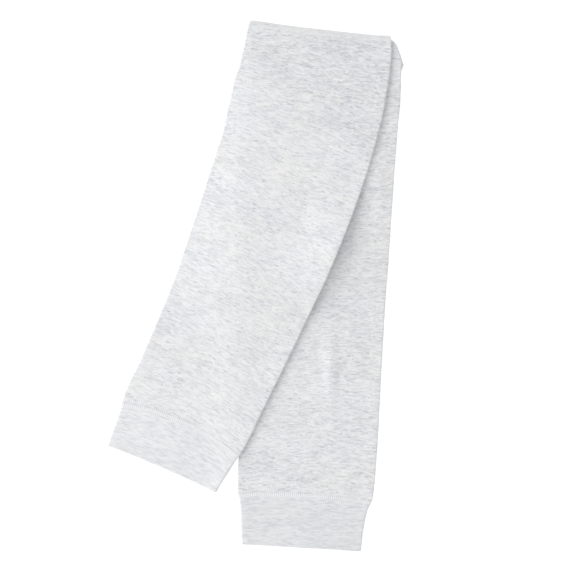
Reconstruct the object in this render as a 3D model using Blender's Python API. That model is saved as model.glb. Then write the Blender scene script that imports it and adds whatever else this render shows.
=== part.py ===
"""Child's thermal leggings, folded lengthwise and laid flat with the seat turned under.

The right leg lies on the left leg.  Both run over one fold at the top, and the seat and
the waistband lie flat beneath them.  The right leg is swung out to the left, so both
ribbed cuffs show.

Every size is in millimetres, and the meshes are made in metres.  +Y points up the page,
towards the fold, and +Z points away from the table.  "Along" runs down a leg from the
edge of the fold, and "across" runs to the right of the leg's centre line.
"""

import math

import bmesh
import bpy
import numpy as np

MM = 0.001

# Cloth
LEG_WALL = 1.3          # one layer of brushed knit
LEG_THICK = 3.1         # a leg laid flat: two layers and the air between them
CUFF_WALL = 1.8         # doubled rib
CUFF_THICK = 4.1
LAYER_GAP = 0.45        # between one laid piece and the next
SEAM_GAP = 0.3
SEAM_THICK = 3.5        # a cuff where it meets its leg
CUFF_EASE = 4.0         # length over which a cuff swells to its full thickness
LEAST_AIR = 0.3         # between the two layers of a cuff at its seam
RIM_LENGTH = 0.8        # rounded edge of a cuff's hem
RIM_INSET = 0.5

# The fold at the top, where the right leg wraps round the left one
INNER_AIR = 0.2         # radius left open inside the inner fold
INNER_BEND = LEG_THICK / 2 + INNER_AIR
OUTER_BEND = INNER_BEND + LEG_THICK + LAYER_GAP
AXIS_HEIGHT = OUTER_BEND + LEG_THICK / 2
FOLD_REACH = AXIS_HEIGHT    # the fold's axis is as far from its edge as from the table
TAIL = 4.0              # length of leg beneath the fold, before the seat solid
BEND_STEPS = 6

# Stacked heights
LEFT_BASE = AXIS_HEIGHT + INNER_BEND - LEG_THICK / 2
RIGHT_BASE = AXIS_HEIGHT + OUTER_BEND - LEG_THICK / 2
SEAT_THICK = LEFT_BASE - 2 * INNER_AIR
WAIST_THICK = 8.5       # four layers with the elastic inside
WAIST_EDGE = 7.7        # the same at its folded top edge

# Where the two centre lines meet the fold
RIGHT_START = (57.1, 230.4)
LEFT_SHIFT = 8.6        # the left leg lies this far to the right of the right one
FOLD_HEADING = 6.3      # degrees, clockwise from straight down the page
FOLD_RISE = 1.5         # the fold bows outwards by this much at its left end

# Heading of each leg's centre line: along, degrees
RIGHT_HEADINGS = (
    (0, FOLD_HEADING), (7, FOLD_HEADING), (60, 12.4), (130, 18.0), (210, 21.7), (300, 24.4),
    (345, 25.0), (380, 24.2), (424, 23.3),
)
LEFT_HEADINGS = (
    (0, FOLD_HEADING), (12, FOLD_HEADING), (40, 3.2), (120, 2.7), (300, 2.6), (470, 3.4),
)

# Sections of the laid pieces: along, half width to the left, half width to the right, bow.
# The bow is how far the middle of the section lies back towards the fold.
RIGHT_LEG = (
    (0, 63.0, 62.5, 0), (7, 64.0, 64.8, 0), (15, 64.8, 66.0, 0), (30, 66.0, 66.9, 0),
    (60, 68.0, 67.5, 0), (90, 68.0, 67.7, 0), (130, 67.1, 66.8, 0), (170, 66.2, 65.4, 0),
    (210, 64.2, 64.0, 0), (250, 61.8, 62.0, 0), (290, 60.6, 60.4, 0.8), (330, 59.7, 59.1, 3.5),
    (350, 59.4, 59.0, 5.4), (370, 60.0, 58.4, 7.3), (382.3, 58.4, 57.4, 8.3),
)
RIGHT_CUFF = (
    (382.3, 57.6, 56.6, 8.3), (390, 57.3, 56.0, 7.0), (400, 56.1, 54.6, 5.2),
    (410, 55.6, 53.0, 3.2), (421.6, 54.9, 51.6, 1.2),
)
LEFT_LEG = (
    (0, 57.0, 59.5, 0), (7, 59.6, 62.6, 0), (15, 60.4, 66.2, 0), (25, 60.2, 67.9, 0),
    (40, 60.2, 68.4, 0), (60, 60.6, 68.6, 0), (90, 60.9, 67.8, 0), (130, 61.4, 66.6, 0),
    (210, 61.3, 64.8, 0), (290, 61.7, 63.6, 0), (330, 62.2, 63.4, 0.4), (370, 61.4, 63.0, 1.4),
    (400, 60.8, 62.3, 2.6), (420.3, 60.2, 61.2, 3.2),
)
LEFT_CUFF = (
    (420.3, 59.0, 60.0, 3.2), (430, 57.4, 57.0, 2.4), (440, 56.2, 55.4, 1.6),
    (450, 55.6, 54.3, 0.9), (465.6, 53.8, 53.5, 0.1),
)
# The seat and the waistband follow the left leg's centre line, underneath it.  Here the last
# column is the thickness.
SEAT = (
    (11.2, 71.0, 64.6, SEAT_THICK), (15, 71.9, 67.2, SEAT_THICK), (20, 73.6, 69.6, SEAT_THICK),
    (25, 74.8, 70.4, SEAT_THICK), (30, 76.0, 69.6, SEAT_THICK), (36, 77.4, 66.0, SEAT_THICK),
    (48, 80.0, 61.2, SEAT_THICK), (60, 81.8, 58.9, SEAT_THICK), (80, 80.6, 57.2, SEAT_THICK),
    (110, 75.8, 56.7, SEAT_THICK), (150, 68.9, 57.2, SEAT_THICK), (172.7, 65.7, 57.5, SEAT_THICK),
)
WAISTBAND = (
    (173, 66.0, 58.0, SEAT_THICK), (178, 65.8, 58.3, WAIST_THICK), (201, 62.8, 58.5, WAIST_THICK),
    (203, 62.4, 58.3, WAIST_EDGE),
)
CROTCH_ALONG = 26       # the legs are two tubes before this and one after it
LAYER_STEP = 1.6        # the upper layers stop this much short of the lower ones
OPEN_GROOVE = 0.9       # depth between two folded edges, as a share of a lobe's radius
CLOSED_GROOVE = 0.25

# Soft forms: along, across, half length, half width, turn in degrees, height.
RIGHT_LIFTS = ((198, 66, 58, 46, 0, 5.5),)
LEFT_LIFTS = ((224, 26, 20, 9, 29, -1.3),)
LEFT_CREASES = ((305, 18.5, 44, 10, -2.6, 1.3),)

# How cloth falls off an edge below it
RIGHT_SLOPE = 0.22      # two legs' worth of cloth bridges more than one
LEFT_SLOPE = 0.3
DRAPE_MARGIN = 11.0
GRID_CELL = 2.0
GRID_X = (-150, 150)
GRID_Y = (-260, 252)
SMOOTH_PASSES = 18
BLEND_LENGTH = 20.0     # from the fold's own height to the draped height

# Mesh spacing
RING_SPACING = 14.0
RIGHT_COLUMNS = 12
LEFT_COLUMNS = 11
SEAT_COLUMNS = 6
ARC_ANGLES = (45, 0, -45)
LOBE_ANGLES = (60, 0, -60)

# Finish
KNIT_COLOUR = (0.74, 0.76, 0.78)
RIB_COLOUR = (0.76, 0.77, 0.79)
CLOTH_ROUGHNESS = 0.9
SHARP_ANGLE = 50        # degrees; flatter edges are shaded smooth

COLLECTION = "thermal_leggings"


def direction_down(degrees):
    """Unit vector down the page for a heading, as x and y."""
    angle = np.radians(degrees)
    return -np.sin(angle), -np.cos(angle)


def direction_across(degrees):
    """Unit vector to the right of a heading, as x and y."""
    angle = np.radians(degrees)
    return np.cos(angle), -np.sin(angle)


class CentreLine:
    """The middle of a laid leg, worked out from its heading."""

    def __init__(self, start, headings):
        self.along = np.arange(0.0, headings[-1][0] + 1.0)
        table = np.array(headings, dtype=float)
        self.heading = np.interp(self.along, table[:, 0], table[:, 1])
        middle = (self.heading[1:] + self.heading[:-1]) / 2
        step_x, step_y = direction_down(middle)
        self.x = start[0] + np.concatenate(([0.0], np.cumsum(step_x)))
        self.y = start[1] + np.concatenate(([0.0], np.cumsum(step_y)))

    def at(self, along):
        """Point and heading at a distance along the line."""
        return (
            np.interp(along, self.along, self.x),
            np.interp(along, self.along, self.y),
            np.interp(along, self.along, self.heading),
        )

    def locate(self, x, y):
        """Distances along and across of points on the table."""
        along = np.hypot(x - self.x[0], y - self.y[0])
        for _ in range(4):
            px, py, heading = self.at(along)
            down_x, down_y = direction_down(heading)
            along = along + (x - px) * down_x + (y - py) * down_y
        px, py, heading = self.at(along)
        right_x, right_y = direction_across(heading)
        return along, (x - px) * right_x + (y - py) * right_y


def section(table, along):
    """Left half width, right half width and bow of a table at a distance along."""
    rows = np.array(table, dtype=float)
    return tuple(np.interp(along, rows[:, 0], rows[:, column]) for column in (1, 2, 3))


def outline(line, table):
    """Closed outline of a piece on the table, down its left edge and back up its right."""
    left, right = [], []
    for along, half_left, half_right, _ in table:
        x, y, heading = line.at(along)
        across_x, across_y = direction_across(heading)
        left.append((x - across_x * half_left, y - across_y * half_left))
        right.append((x + across_x * half_right, y + across_y * half_right))
    return left + right[::-1]


def soft_forms(line, table, x, y):
    """Sum of a table's soft ridges and hollows at points on the table."""
    along, across = line.locate(x, y)
    total = np.zeros(np.shape(x))
    for middle, side, half_length, half_width, turn, height in table:
        cos, sin = math.cos(math.radians(turn)), math.sin(math.radians(turn))
        run = (along - middle) * cos - (across - side) * sin
        off = (along - middle) * sin + (across - side) * cos
        run = np.clip(np.abs(run) / half_length, 0, 1)
        off = np.clip(np.abs(off) / half_width, 0, 1)
        total = total + height * np.cos(run * math.pi / 2) ** 2 * np.cos(off * math.pi / 2) ** 2
    return total


class HeightField:
    """Heights over the table on a square grid, read between its points."""

    def __init__(self):
        self.x = np.arange(GRID_X[0], GRID_X[1] + GRID_CELL, GRID_CELL)
        self.y = np.arange(GRID_Y[0], GRID_Y[1] + GRID_CELL, GRID_CELL)
        self.grid_x, self.grid_y = np.meshgrid(self.x, self.y)
        self.height = np.zeros(self.grid_x.shape)

    def inside(self, corners):
        """Mask of the grid points inside a closed outline."""
        mask = np.zeros(self.grid_x.shape, dtype=bool)
        previous = corners[-1]
        for corner in corners:
            (x1, y1), (x2, y2) = previous, corner
            previous = corner
            if y1 == y2:
                continue
            crosses = (y1 > self.grid_y) != (y2 > self.grid_y)
            edge = x1 + (self.grid_y - y1) * (x2 - x1) / (y2 - y1)
            mask ^= crosses & (self.grid_x < edge)
        return mask

    def lay_on(self, corners, top):
        """Raise the field to `top` inside an outline."""
        mask = self.inside(corners)
        self.height[mask] = np.maximum(self.height, top)[mask]

    def drape(self, slope):
        """Let the field fall away softly past the edges of what it lies on."""
        reach = int((self.height.max() / slope + DRAPE_MARGIN) / GRID_CELL) + 1
        rows, columns = self.height.shape
        padded = np.pad(self.height, reach)
        draped = np.zeros(self.height.shape)
        for i in range(-reach, reach + 1):
            for j in range(-reach, reach + 1):
                run = math.hypot(i, j) * GRID_CELL - DRAPE_MARGIN
                lowered = padded[reach + i:reach + i + rows, reach + j:reach + j + columns]
                np.maximum(draped, lowered - max(run, 0.0) * slope, out=draped)
        for _ in range(SMOOTH_PASSES):
            wide = np.pad(draped, 1, mode="edge")
            draped = (wide[:-2, 1:-1] + 2 * wide[1:-1, 1:-1] + wide[2:, 1:-1]) / 4
            wide = np.pad(draped, 1, mode="edge")
            draped = (wide[1:-1, :-2] + 2 * wide[1:-1, 1:-1] + wide[1:-1, 2:]) / 4
        self.height = draped

    def at(self, x, y):
        """Height at points on the table."""
        column = np.clip((x - self.x[0]) / GRID_CELL, 0, len(self.x) - 1.001)
        row = np.clip((y - self.y[0]) / GRID_CELL, 0, len(self.y) - 1.001)
        j, i = column.astype(int), row.astype(int)
        fx, fy = column - j, row - i
        low = self.height[i, j] * (1 - fx) + self.height[i, j + 1] * fx
        high = self.height[i + 1, j] * (1 - fx) + self.height[i + 1, j + 1] * fx
        return low * (1 - fy) + high * fy


class Leg:
    """One leg of the garment: its centre line, how it is lifted and its mesh spacing."""

    def __init__(self, line, shift, bend, columns, field, lifts, creases):
        self.line = line
        self.shift = shift
        self.bend = bend
        self.columns = columns
        self.field = field
        self.lifts = lifts
        self.creases = creases
        self.base = AXIS_HEIGHT + bend - LEG_THICK / 2

    def lift(self, x, y):
        """Height of the leg's underside above the table."""
        along, _ = self.line.locate(x, y)
        ease = np.clip((along - FOLD_REACH) / BLEND_LENGTH, 0, 1)
        ease = ease * ease * (3 - 2 * ease)
        height = self.base + (self.field.at(x, y) - self.base) * ease
        return np.maximum(height + soft_forms(self.line, self.lifts, x, y), 0.0)


def flat_tube_profile(half_left, half_right, thick, inset, columns):
    """Points of a flattened tube's section as across, arc centre across and height.

    `inset` moves the outline inwards, to the inner face of the cloth.  The points run along
    the top from left to right, round the right fold, back along the bottom and round the
    left fold.
    """
    radius = thick / 2
    face = radius - inset
    row = np.linspace(-half_left + radius, half_right - radius, columns)
    points = [(across, across, face) for across in row]
    points += fold_arc(row[-1], face, 1)
    points += [(across, across, -face) for across in row[::-1]]
    points += fold_arc(row[0], face, -1)
    return np.array(points)


def fold_arc(centre, radius, side):
    """Points round one side fold, from the top on the right and from the bottom on the left."""
    points = []
    for degrees in ARC_ANGLES:
        angle = math.radians(degrees * side)
        points.append((centre + side * radius * math.cos(angle), centre, radius * math.sin(angle)))
    return points


def laid_ring(leg, along, halves, bow, thick, inset):
    """One section of a leg or cuff that lies on what is below it."""
    profile = flat_tube_profile(halves[0], halves[1], thick, inset, leg.columns)
    across, anchor, height = profile.T
    cx, cy, heading = leg.line.at(along)
    right_x, right_y = direction_across(heading)
    down_x, down_y = direction_down(heading)
    back = -bow * (1 - (2 * (anchor + halves[0]) / (halves[0] + halves[1]) - 1) ** 2)
    anchor_x = cx + right_x * anchor + down_x * back
    anchor_y = cy + right_y * anchor + down_y * back
    x = anchor_x + right_x * (across - anchor)
    y = anchor_y + right_y * (across - anchor)
    z = leg.lift(anchor_x, anchor_y) + thick / 2 + height
    z = z + np.where(height > 0, soft_forms(leg.line, leg.creases, anchor_x, anchor_y), 0.0)
    return np.column_stack((x, y, z))


def bend_ring(leg, turn, tail, halves, inset):
    """One section round the fold: 0 degrees is on top and 180 degrees is underneath."""
    profile = flat_tube_profile(halves[0], halves[1], LEG_THICK, inset, leg.columns)
    across, _, height = profile.T
    cx, cy, heading = leg.line.at(FOLD_REACH)
    right_x, right_y = direction_across(heading)
    down_x, down_y = direction_down(heading)
    reach = leg.bend + height
    out = reach * math.sin(math.radians(turn)) - tail
    left_share = np.clip(-(across + leg.shift) / RIGHT_LEG[0][1], 0, 1)
    out = out + FOLD_RISE * left_share ** 2 * math.sin(math.radians(turn))
    x = cx + right_x * across - down_x * out
    y = cy + right_y * across - down_y * out
    z = AXIS_HEIGHT + reach * math.cos(math.radians(turn))
    return np.column_stack((x, y, z))


def leg_rings(leg, table, inset):
    """Sections of a leg from its hidden end, round the fold and down to its seam."""
    start = section(table, FOLD_REACH)
    nose = section(table, 0)
    rings = [bend_ring(leg, 180, TAIL, start, inset)]
    for step in range(BEND_STEPS + 1):
        turn = 180 - 180 * step / BEND_STEPS
        share = math.sin(math.radians(turn))
        halves = tuple(start[k] + (nose[k] - start[k]) * share for k in (0, 1))
        rings.append(bend_ring(leg, turn, 0, halves, inset))
    end = table[-1][0] - SEAM_GAP / 2
    count = round((end - FOLD_REACH) / RING_SPACING)
    for along in np.linspace(FOLD_REACH, end, count + 1)[1:]:
        half_left, half_right, bow = section(table, along)
        rings.append(laid_ring(leg, along, (half_left, half_right), bow, LEG_THICK, inset))
    return rings


def cuff_rings(leg, table, wall_side):
    """Sections of a cuff; `wall_side` is 0 for its outer face and 1 for its inner face."""
    start = table[0][0] + SEAM_GAP / 2
    end = table[-1][0]
    stops = [(start, SEAM_THICK, 0.0), (start + CUFF_EASE, CUFF_THICK, 0.0)]
    stops += [(along, CUFF_THICK, 0.0) for along, *_ in table[2:-1]]
    stops += [(end - RIM_LENGTH, CUFF_THICK, 0.0), (end, CUFF_THICK, RIM_INSET)]
    rings = []
    for along, thick, rim in stops:
        half_left, half_right, bow = section(table, along)
        wall = min(CUFF_WALL, (thick - LEAST_AIR) / 2)
        inset = wall - rim if wall_side else rim
        rings.append(laid_ring(leg, along, (half_left, half_right), bow, thick, inset))
    return rings


def layered_rings(line, table, last_loose):
    """Sections of a folded stack: two soft lobes at each side, flat above and below.

    Beyond `last_loose` the right side is one closed fold and keeps only a faint groove.
    """
    rings = []
    for along, half_left, half_right, thick in table:
        radius = thick / 4
        groove = radius * (OPEN_GROOVE if along <= last_loose else CLOSED_GROOVE)
        row = np.linspace(-half_left + thick / 2, half_right - thick / 2, SEAT_COLUMNS)
        points = [(across, thick) for across in row]
        points += lobe(half_right - radius, 3 * radius, radius, 1)
        points.append((half_right - groove, thick / 2))
        points += lobe(half_right - radius, radius, radius, 1)
        points += [(across, 0.0) for across in row[::-1]]
        points += lobe(-half_left + radius, radius, radius, -1)
        points.append((-half_left + radius * OPEN_GROOVE, thick / 2))
        points += lobe(-half_left + radius + LAYER_STEP, 3 * radius, radius, -1)
        across, height = np.array(points).T
        cx, cy, heading = line.at(along)
        right_x, right_y = direction_across(heading)
        rings.append(np.column_stack((cx + right_x * across, cy + right_y * across, height)))
    return rings


def lobe(centre, height, radius, side):
    """Points round one folded edge of a stack."""
    points = []
    for degrees in LOBE_ANGLES:
        angle = math.radians(degrees * side)
        points.append((centre + side * radius * math.cos(angle), height + radius * math.sin(angle)))
    return points


def add_skin(mesh, rings, half):
    """Join sections by triangles, with the same diagonals above and below in plan."""
    vertices = [[mesh.verts.new(point * MM) for point in ring] for ring in rings]
    count = len(rings[0])
    for upper, lower in zip(vertices, vertices[1:]):
        for k in range(count):
            a, b = upper[k], upper[(k + 1) % count]
            c, d = lower[(k + 1) % count], lower[k]
            corners = ((a, b, c), (a, c, d)) if k < half else ((a, b, d), (b, c, d))
            for triangle in corners:
                mesh.faces.new(triangle)
    return vertices[0], vertices[-1]


def add_rim(mesh, outer, inner):
    """Join the outer and inner face of the cloth at an open end."""
    count = len(outer)
    for k in range(count):
        after = (k + 1) % count
        mesh.faces.new((outer[k], outer[after], inner[after], inner[k]))


def make_object(name, mesh, colour):
    """Turn a finished mesh into a named object with its own material."""
    bmesh.ops.recalc_face_normals(mesh, faces=mesh.faces)
    data = bpy.data.meshes.new(name)
    mesh.to_mesh(data)
    mesh.free()
    data.shade_smooth()
    data.set_sharp_from_angle(angle=math.radians(SHARP_ANGLE))
    material = bpy.data.materials.new(name + "_cloth")
    material.use_nodes = True
    shader = material.node_tree.nodes["Principled BSDF"]
    shader.inputs["Base Color"].default_value = (*colour, 1.0)
    shader.inputs["Roughness"].default_value = CLOTH_ROUGHNESS
    shader.inputs["Metallic"].default_value = 0.0
    data.materials.append(material)
    item = bpy.data.objects.new(name, data)
    bpy.data.collections[COLLECTION].objects.link(item)
    return item


def make_tube(name, outer, inner, columns, colour):
    """A wall of cloth between two sets of sections, open at both ends."""
    mesh = bmesh.new()
    outer_ends = add_skin(mesh, outer, columns)
    inner_ends = add_skin(mesh, inner, columns)
    for outer_end, inner_end in zip(outer_ends, inner_ends):
        add_rim(mesh, outer_end, inner_end)
    return make_object(name, mesh, colour)


def make_stack(name, rings, colour):
    """A closed solid for layers that lie folded on each other."""
    mesh = bmesh.new()
    for end in add_skin(mesh, rings, SEAT_COLUMNS):
        mesh.faces.new(end)
    return make_object(name, mesh, colour)


def clear_scene():
    """Remove the objects that Blender starts with."""
    for item in list(bpy.data.objects):
        bpy.data.objects.remove(item, do_unlink=True)


def main():
    """Build the six pieces."""
    clear_scene()
    bpy.context.scene.collection.children.link(bpy.data.collections.new(COLLECTION))
    right_line = CentreLine(RIGHT_START, RIGHT_HEADINGS)
    shift_x, shift_y = direction_across(FOLD_HEADING)
    left_start = (RIGHT_START[0] + shift_x * LEFT_SHIFT, RIGHT_START[1] + shift_y * LEFT_SHIFT)
    left_line = CentreLine(left_start, LEFT_HEADINGS)
    seat_outline = outline(left_line, SEAT)
    waist_outline = outline(left_line, WAISTBAND)

    left_field = HeightField()
    left_field.lay_on(seat_outline, LEFT_BASE)
    left_field.lay_on(waist_outline, WAIST_THICK + LAYER_GAP)
    left_field.drape(LEFT_SLOPE)
    left = Leg(left_line, LEFT_SHIFT, INNER_BEND, LEFT_COLUMNS, left_field, LEFT_LIFTS, LEFT_CREASES)

    right_field = HeightField()
    right_field.lay_on(seat_outline, LEFT_BASE)
    right_field.lay_on(waist_outline, WAIST_THICK + LAYER_GAP)
    grid = right_field.grid_x, right_field.grid_y
    for table, thick in ((LEFT_LEG, LEG_THICK), (LEFT_CUFF, CUFF_THICK)):
        right_field.lay_on(outline(left_line, table), left.lift(*grid) + thick + LAYER_GAP)
    right_field.drape(RIGHT_SLOPE)
    right = Leg(right_line, 0.0, OUTER_BEND, RIGHT_COLUMNS, right_field, RIGHT_LIFTS, ())

    for side, leg, leg_table, cuff_table in (
        ("right", right, RIGHT_LEG, RIGHT_CUFF),
        ("left", left, LEFT_LEG, LEFT_CUFF),
    ):
        outer, inner = leg_rings(leg, leg_table, 0.0), leg_rings(leg, leg_table, LEG_WALL)
        make_tube(side + "_leg", outer, inner, leg.columns, KNIT_COLOUR)
        outer, inner = cuff_rings(leg, cuff_table, 0), cuff_rings(leg, cuff_table, 1)
        make_tube(side + "_cuff", outer, inner, leg.columns, RIB_COLOUR)
    make_stack("seat", layered_rings(left_line, SEAT, CROTCH_ALONG), KNIT_COLOUR)
    make_stack("waistband", layered_rings(left_line, WAISTBAND, 0), RIB_COLOUR)


if __name__ == "__main__":
    main()
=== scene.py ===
"""Child's thermal leggings, folded lengthwise and laid flat with the seat turned under.

The right leg lies on the left leg, and both run over one fold at the top.  The seat and the
waistband lie flat beneath them.  Every piece of cloth is a thin closed shell, made from
sections of the garment as it lies, and the seams carry overlock stitches.

Sizes are in millimetres and the meshes are made in metres.  +Y points up the page, towards
the fold.  "Along" runs down a leg from the edge of the fold, and "across" runs to the right
of the leg's centre line.
"""

import logging
import math
from dataclasses import dataclass, replace
from enum import Enum
from typing import Callable, Sequence

import bpy
import numpy as np
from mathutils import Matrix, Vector
from numpy.typing import NDArray


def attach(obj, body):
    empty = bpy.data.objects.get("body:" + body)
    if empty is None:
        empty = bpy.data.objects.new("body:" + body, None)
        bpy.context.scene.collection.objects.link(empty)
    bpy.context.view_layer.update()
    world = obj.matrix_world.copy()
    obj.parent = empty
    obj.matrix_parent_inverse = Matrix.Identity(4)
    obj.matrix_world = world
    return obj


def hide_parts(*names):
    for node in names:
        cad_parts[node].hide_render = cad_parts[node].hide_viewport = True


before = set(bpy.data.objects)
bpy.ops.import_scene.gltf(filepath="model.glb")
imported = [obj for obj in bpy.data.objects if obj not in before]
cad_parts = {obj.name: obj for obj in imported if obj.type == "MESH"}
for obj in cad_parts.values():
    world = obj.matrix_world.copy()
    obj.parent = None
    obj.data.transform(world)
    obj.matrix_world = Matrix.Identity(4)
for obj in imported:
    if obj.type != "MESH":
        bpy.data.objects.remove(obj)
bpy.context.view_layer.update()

Array = NDArray[np.float64]
Table = tuple[tuple[float, ...], ...]
Pair = tuple[float, float]
Triple = tuple[float, float, float]
Cut = tuple[Pair, float]
Item = bpy.types.Object
Material = bpy.types.Material
Socket = bpy.types.NodeSocket
Value = Socket | float

MM = 0.001
ROOT = "root"
CLOTH_ATTRIBUTE = "cloth"
WHITE = (1.0, 1.0, 1.0)
LOG = logging.getLogger("leggings")


@dataclass(frozen=True)
class ClothSizes:
    """Thicknesses, gaps and folds that the laid pieces share, in millimetres."""

    leg_wall: float = 1.3
    leg_thick: float = 3.1
    cuff_wall: float = 1.8
    cuff_thick: float = 4.1
    layer_gap: float = 0.45
    seam_thick: float = 3.5
    inner_air: float = 0.2
    waist_thick: float = 8.5
    waist_edge: float = 7.7
    tail: float = 4.0           # the legs' length beneath the fold

    @property
    def inner_bend(self) -> float:
        """Radius of the left leg's middle round the fold."""
        return self.leg_thick / 2 + self.inner_air

    @property
    def outer_bend(self) -> float:
        """Radius of the right leg's middle round the fold."""
        return self.inner_bend + self.leg_thick + self.layer_gap

    @property
    def axis_height(self) -> float:
        """Height of the fold's axis, which is also its distance from the fold's edge."""
        return self.outer_bend + self.leg_thick / 2

    @property
    def left_base(self) -> float:
        """Height of the left leg's underside where it leaves the fold."""
        return self.axis_height + self.inner_bend - self.leg_thick / 2

    @property
    def seat_thick(self) -> float:
        """Thickness of the four layers of the seat."""
        return self.left_base - 2 * self.inner_air


CLOTH = ClothSizes()
FOLD_HEADING = 6.3          # degrees, clockwise from straight down the page
FOLD_RISE = (1.5, 1.3)      # the fold bows outwards by this much at its left and right ends
FOLD_RISE_POWER = (2, 8)    # and this sharply
NOSE_LEFT = 63.0            # half width of the right leg at the fold's edge
RIGHT_START = (57.1, 230.4)
LEFT_SHIFT = 8.6            # the left leg lies this far to the right of the right one


# Forms and heights


def smoothstep(low: float, high: float, value: Array) -> Array:
    """Ease from 0 at `low` to 1 at `high`."""
    share = np.clip((value - low) / (high - low), 0.0, 1.0)
    return share * share * (3 - 2 * share)


def direction_down(degrees: Array) -> tuple[Array, Array]:
    """Unit vector down the page for a heading."""
    angle = np.radians(degrees)
    return -np.sin(angle), -np.cos(angle)


def direction_across(degrees: Array) -> tuple[Array, Array]:
    """Unit vector to the right of a heading."""
    angle = np.radians(degrees)
    return np.cos(angle), -np.sin(angle)


@dataclass(frozen=True)
class SoftForm:
    """A soft ridge in the cloth, or a trough where its height is below zero."""

    along: float
    across: float
    half_length: float
    half_width: float
    turn: float
    height: float

    def at(self, along: Array, across: Array) -> Array:
        """Height of the form.

        Args:
            along: Distances down the leg.
            across: Distances to the right of its centre line.

        Returns:
            The height that the form adds at each point.
        """
        cos, sin = math.cos(math.radians(self.turn)), math.sin(math.radians(self.turn))
        run = (along - self.along) * cos - (across - self.across) * sin
        off = (along - self.along) * sin + (across - self.across) * cos
        run = np.clip(np.abs(run) / self.half_length, 0, 1)
        off = np.clip(np.abs(off) / self.half_width, 0, 1)
        return self.height * np.cos(run * math.pi / 2) ** 2 * np.cos(off * math.pi / 2) ** 2


@dataclass(frozen=True)
class Unevenness:
    """Slow, seeded unevenness over a laid cloth or down an edge."""

    seed: int
    cell: float
    height: float
    lattice: int = 64
    origin: float = 9.0

    def at(self, along: Array, across: Array) -> Array:
        """Height of the unevenness.

        Args:
            along: Distances down the leg.
            across: Distances to the right of its centre line.

        Returns:
            A smooth height between minus and plus `height` at each point.
        """
        heights = np.random.default_rng(self.seed).uniform(-1, 1, (self.lattice, self.lattice))
        row, column = np.broadcast_arrays(along / self.cell + self.origin, across / self.cell + self.origin)
        i, j = np.floor(row).astype(int), np.floor(column).astype(int)
        fy, fx = smoothstep(0, 1, row - i), smoothstep(0, 1, column - j)
        i, j = i % self.lattice, j % self.lattice
        i2, j2 = (i + 1) % self.lattice, (j + 1) % self.lattice
        low = heights[i, j] * (1 - fx) + heights[i, j2] * fx
        high = heights[i2, j] * (1 - fx) + heights[i2, j2] * fx
        return self.height * (low * (1 - fy) + high * fy)

    def down(self, along: float) -> float:
        """Value at a distance down an edge."""
        return float(self.at(np.array(along), np.array(0.0)))


class CentreLine:
    """The middle of a laid leg, worked out from its heading."""

    locate_rounds = 4

    def __init__(self, start: Pair, headings: Table) -> None:
        """Lay out the line.

        Args:
            start: Where the line meets the edge of the fold.
            headings: Rows of a distance along and the heading there, in degrees.
        """
        self.along = np.arange(0.0, headings[-1][0] + 1.0)
        rows = np.array(headings, dtype=float)
        self.heading = np.interp(self.along, rows[:, 0], rows[:, 1])
        step_x, step_y = direction_down((self.heading[1:] + self.heading[:-1]) / 2)
        self.x = start[0] + np.concatenate(([0.0], np.cumsum(step_x)))
        self.y = start[1] + np.concatenate(([0.0], np.cumsum(step_y)))

    def at(self, along: Array) -> tuple[Array, ...]:
        """Place across and up the page, and heading, at a distance along the line."""
        return tuple(np.interp(along, self.along, values) for values in (self.x, self.y, self.heading))

    def locate(self, x: Array, y: Array) -> tuple[Array, Array]:
        """Find points of the table on the line.

        Args:
            x: Places across the page.
            y: Places up the page.

        Returns:
            Distances along and across for each point.
        """
        along = np.hypot(x - self.x[0], y - self.y[0])
        for _ in range(self.locate_rounds):
            px, py, heading = self.at(along)
            down_x, down_y = direction_down(heading)
            along = along + (x - px) * down_x + (y - py) * down_y
        px, py, heading = self.at(along)
        right_x, right_y = direction_across(heading)
        return along, (x - px) * right_x + (y - py) * right_y

    def outline(self, table: Table) -> list[Pair]:
        """Closed outline of a piece.

        Args:
            table: Rows of along, half width left, half width right and one more column.

        Returns:
            Corners down the left edge and back up the right edge.
        """
        left, right = [], []
        for along, half_left, half_right, _ in table:
            x, y, heading = self.at(along)
            across_x, across_y = direction_across(heading)
            left.append((x - across_x * half_left, y - across_y * half_left))
            right.append((x + across_x * half_right, y + across_y * half_right))
        return left + right[::-1]


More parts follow.
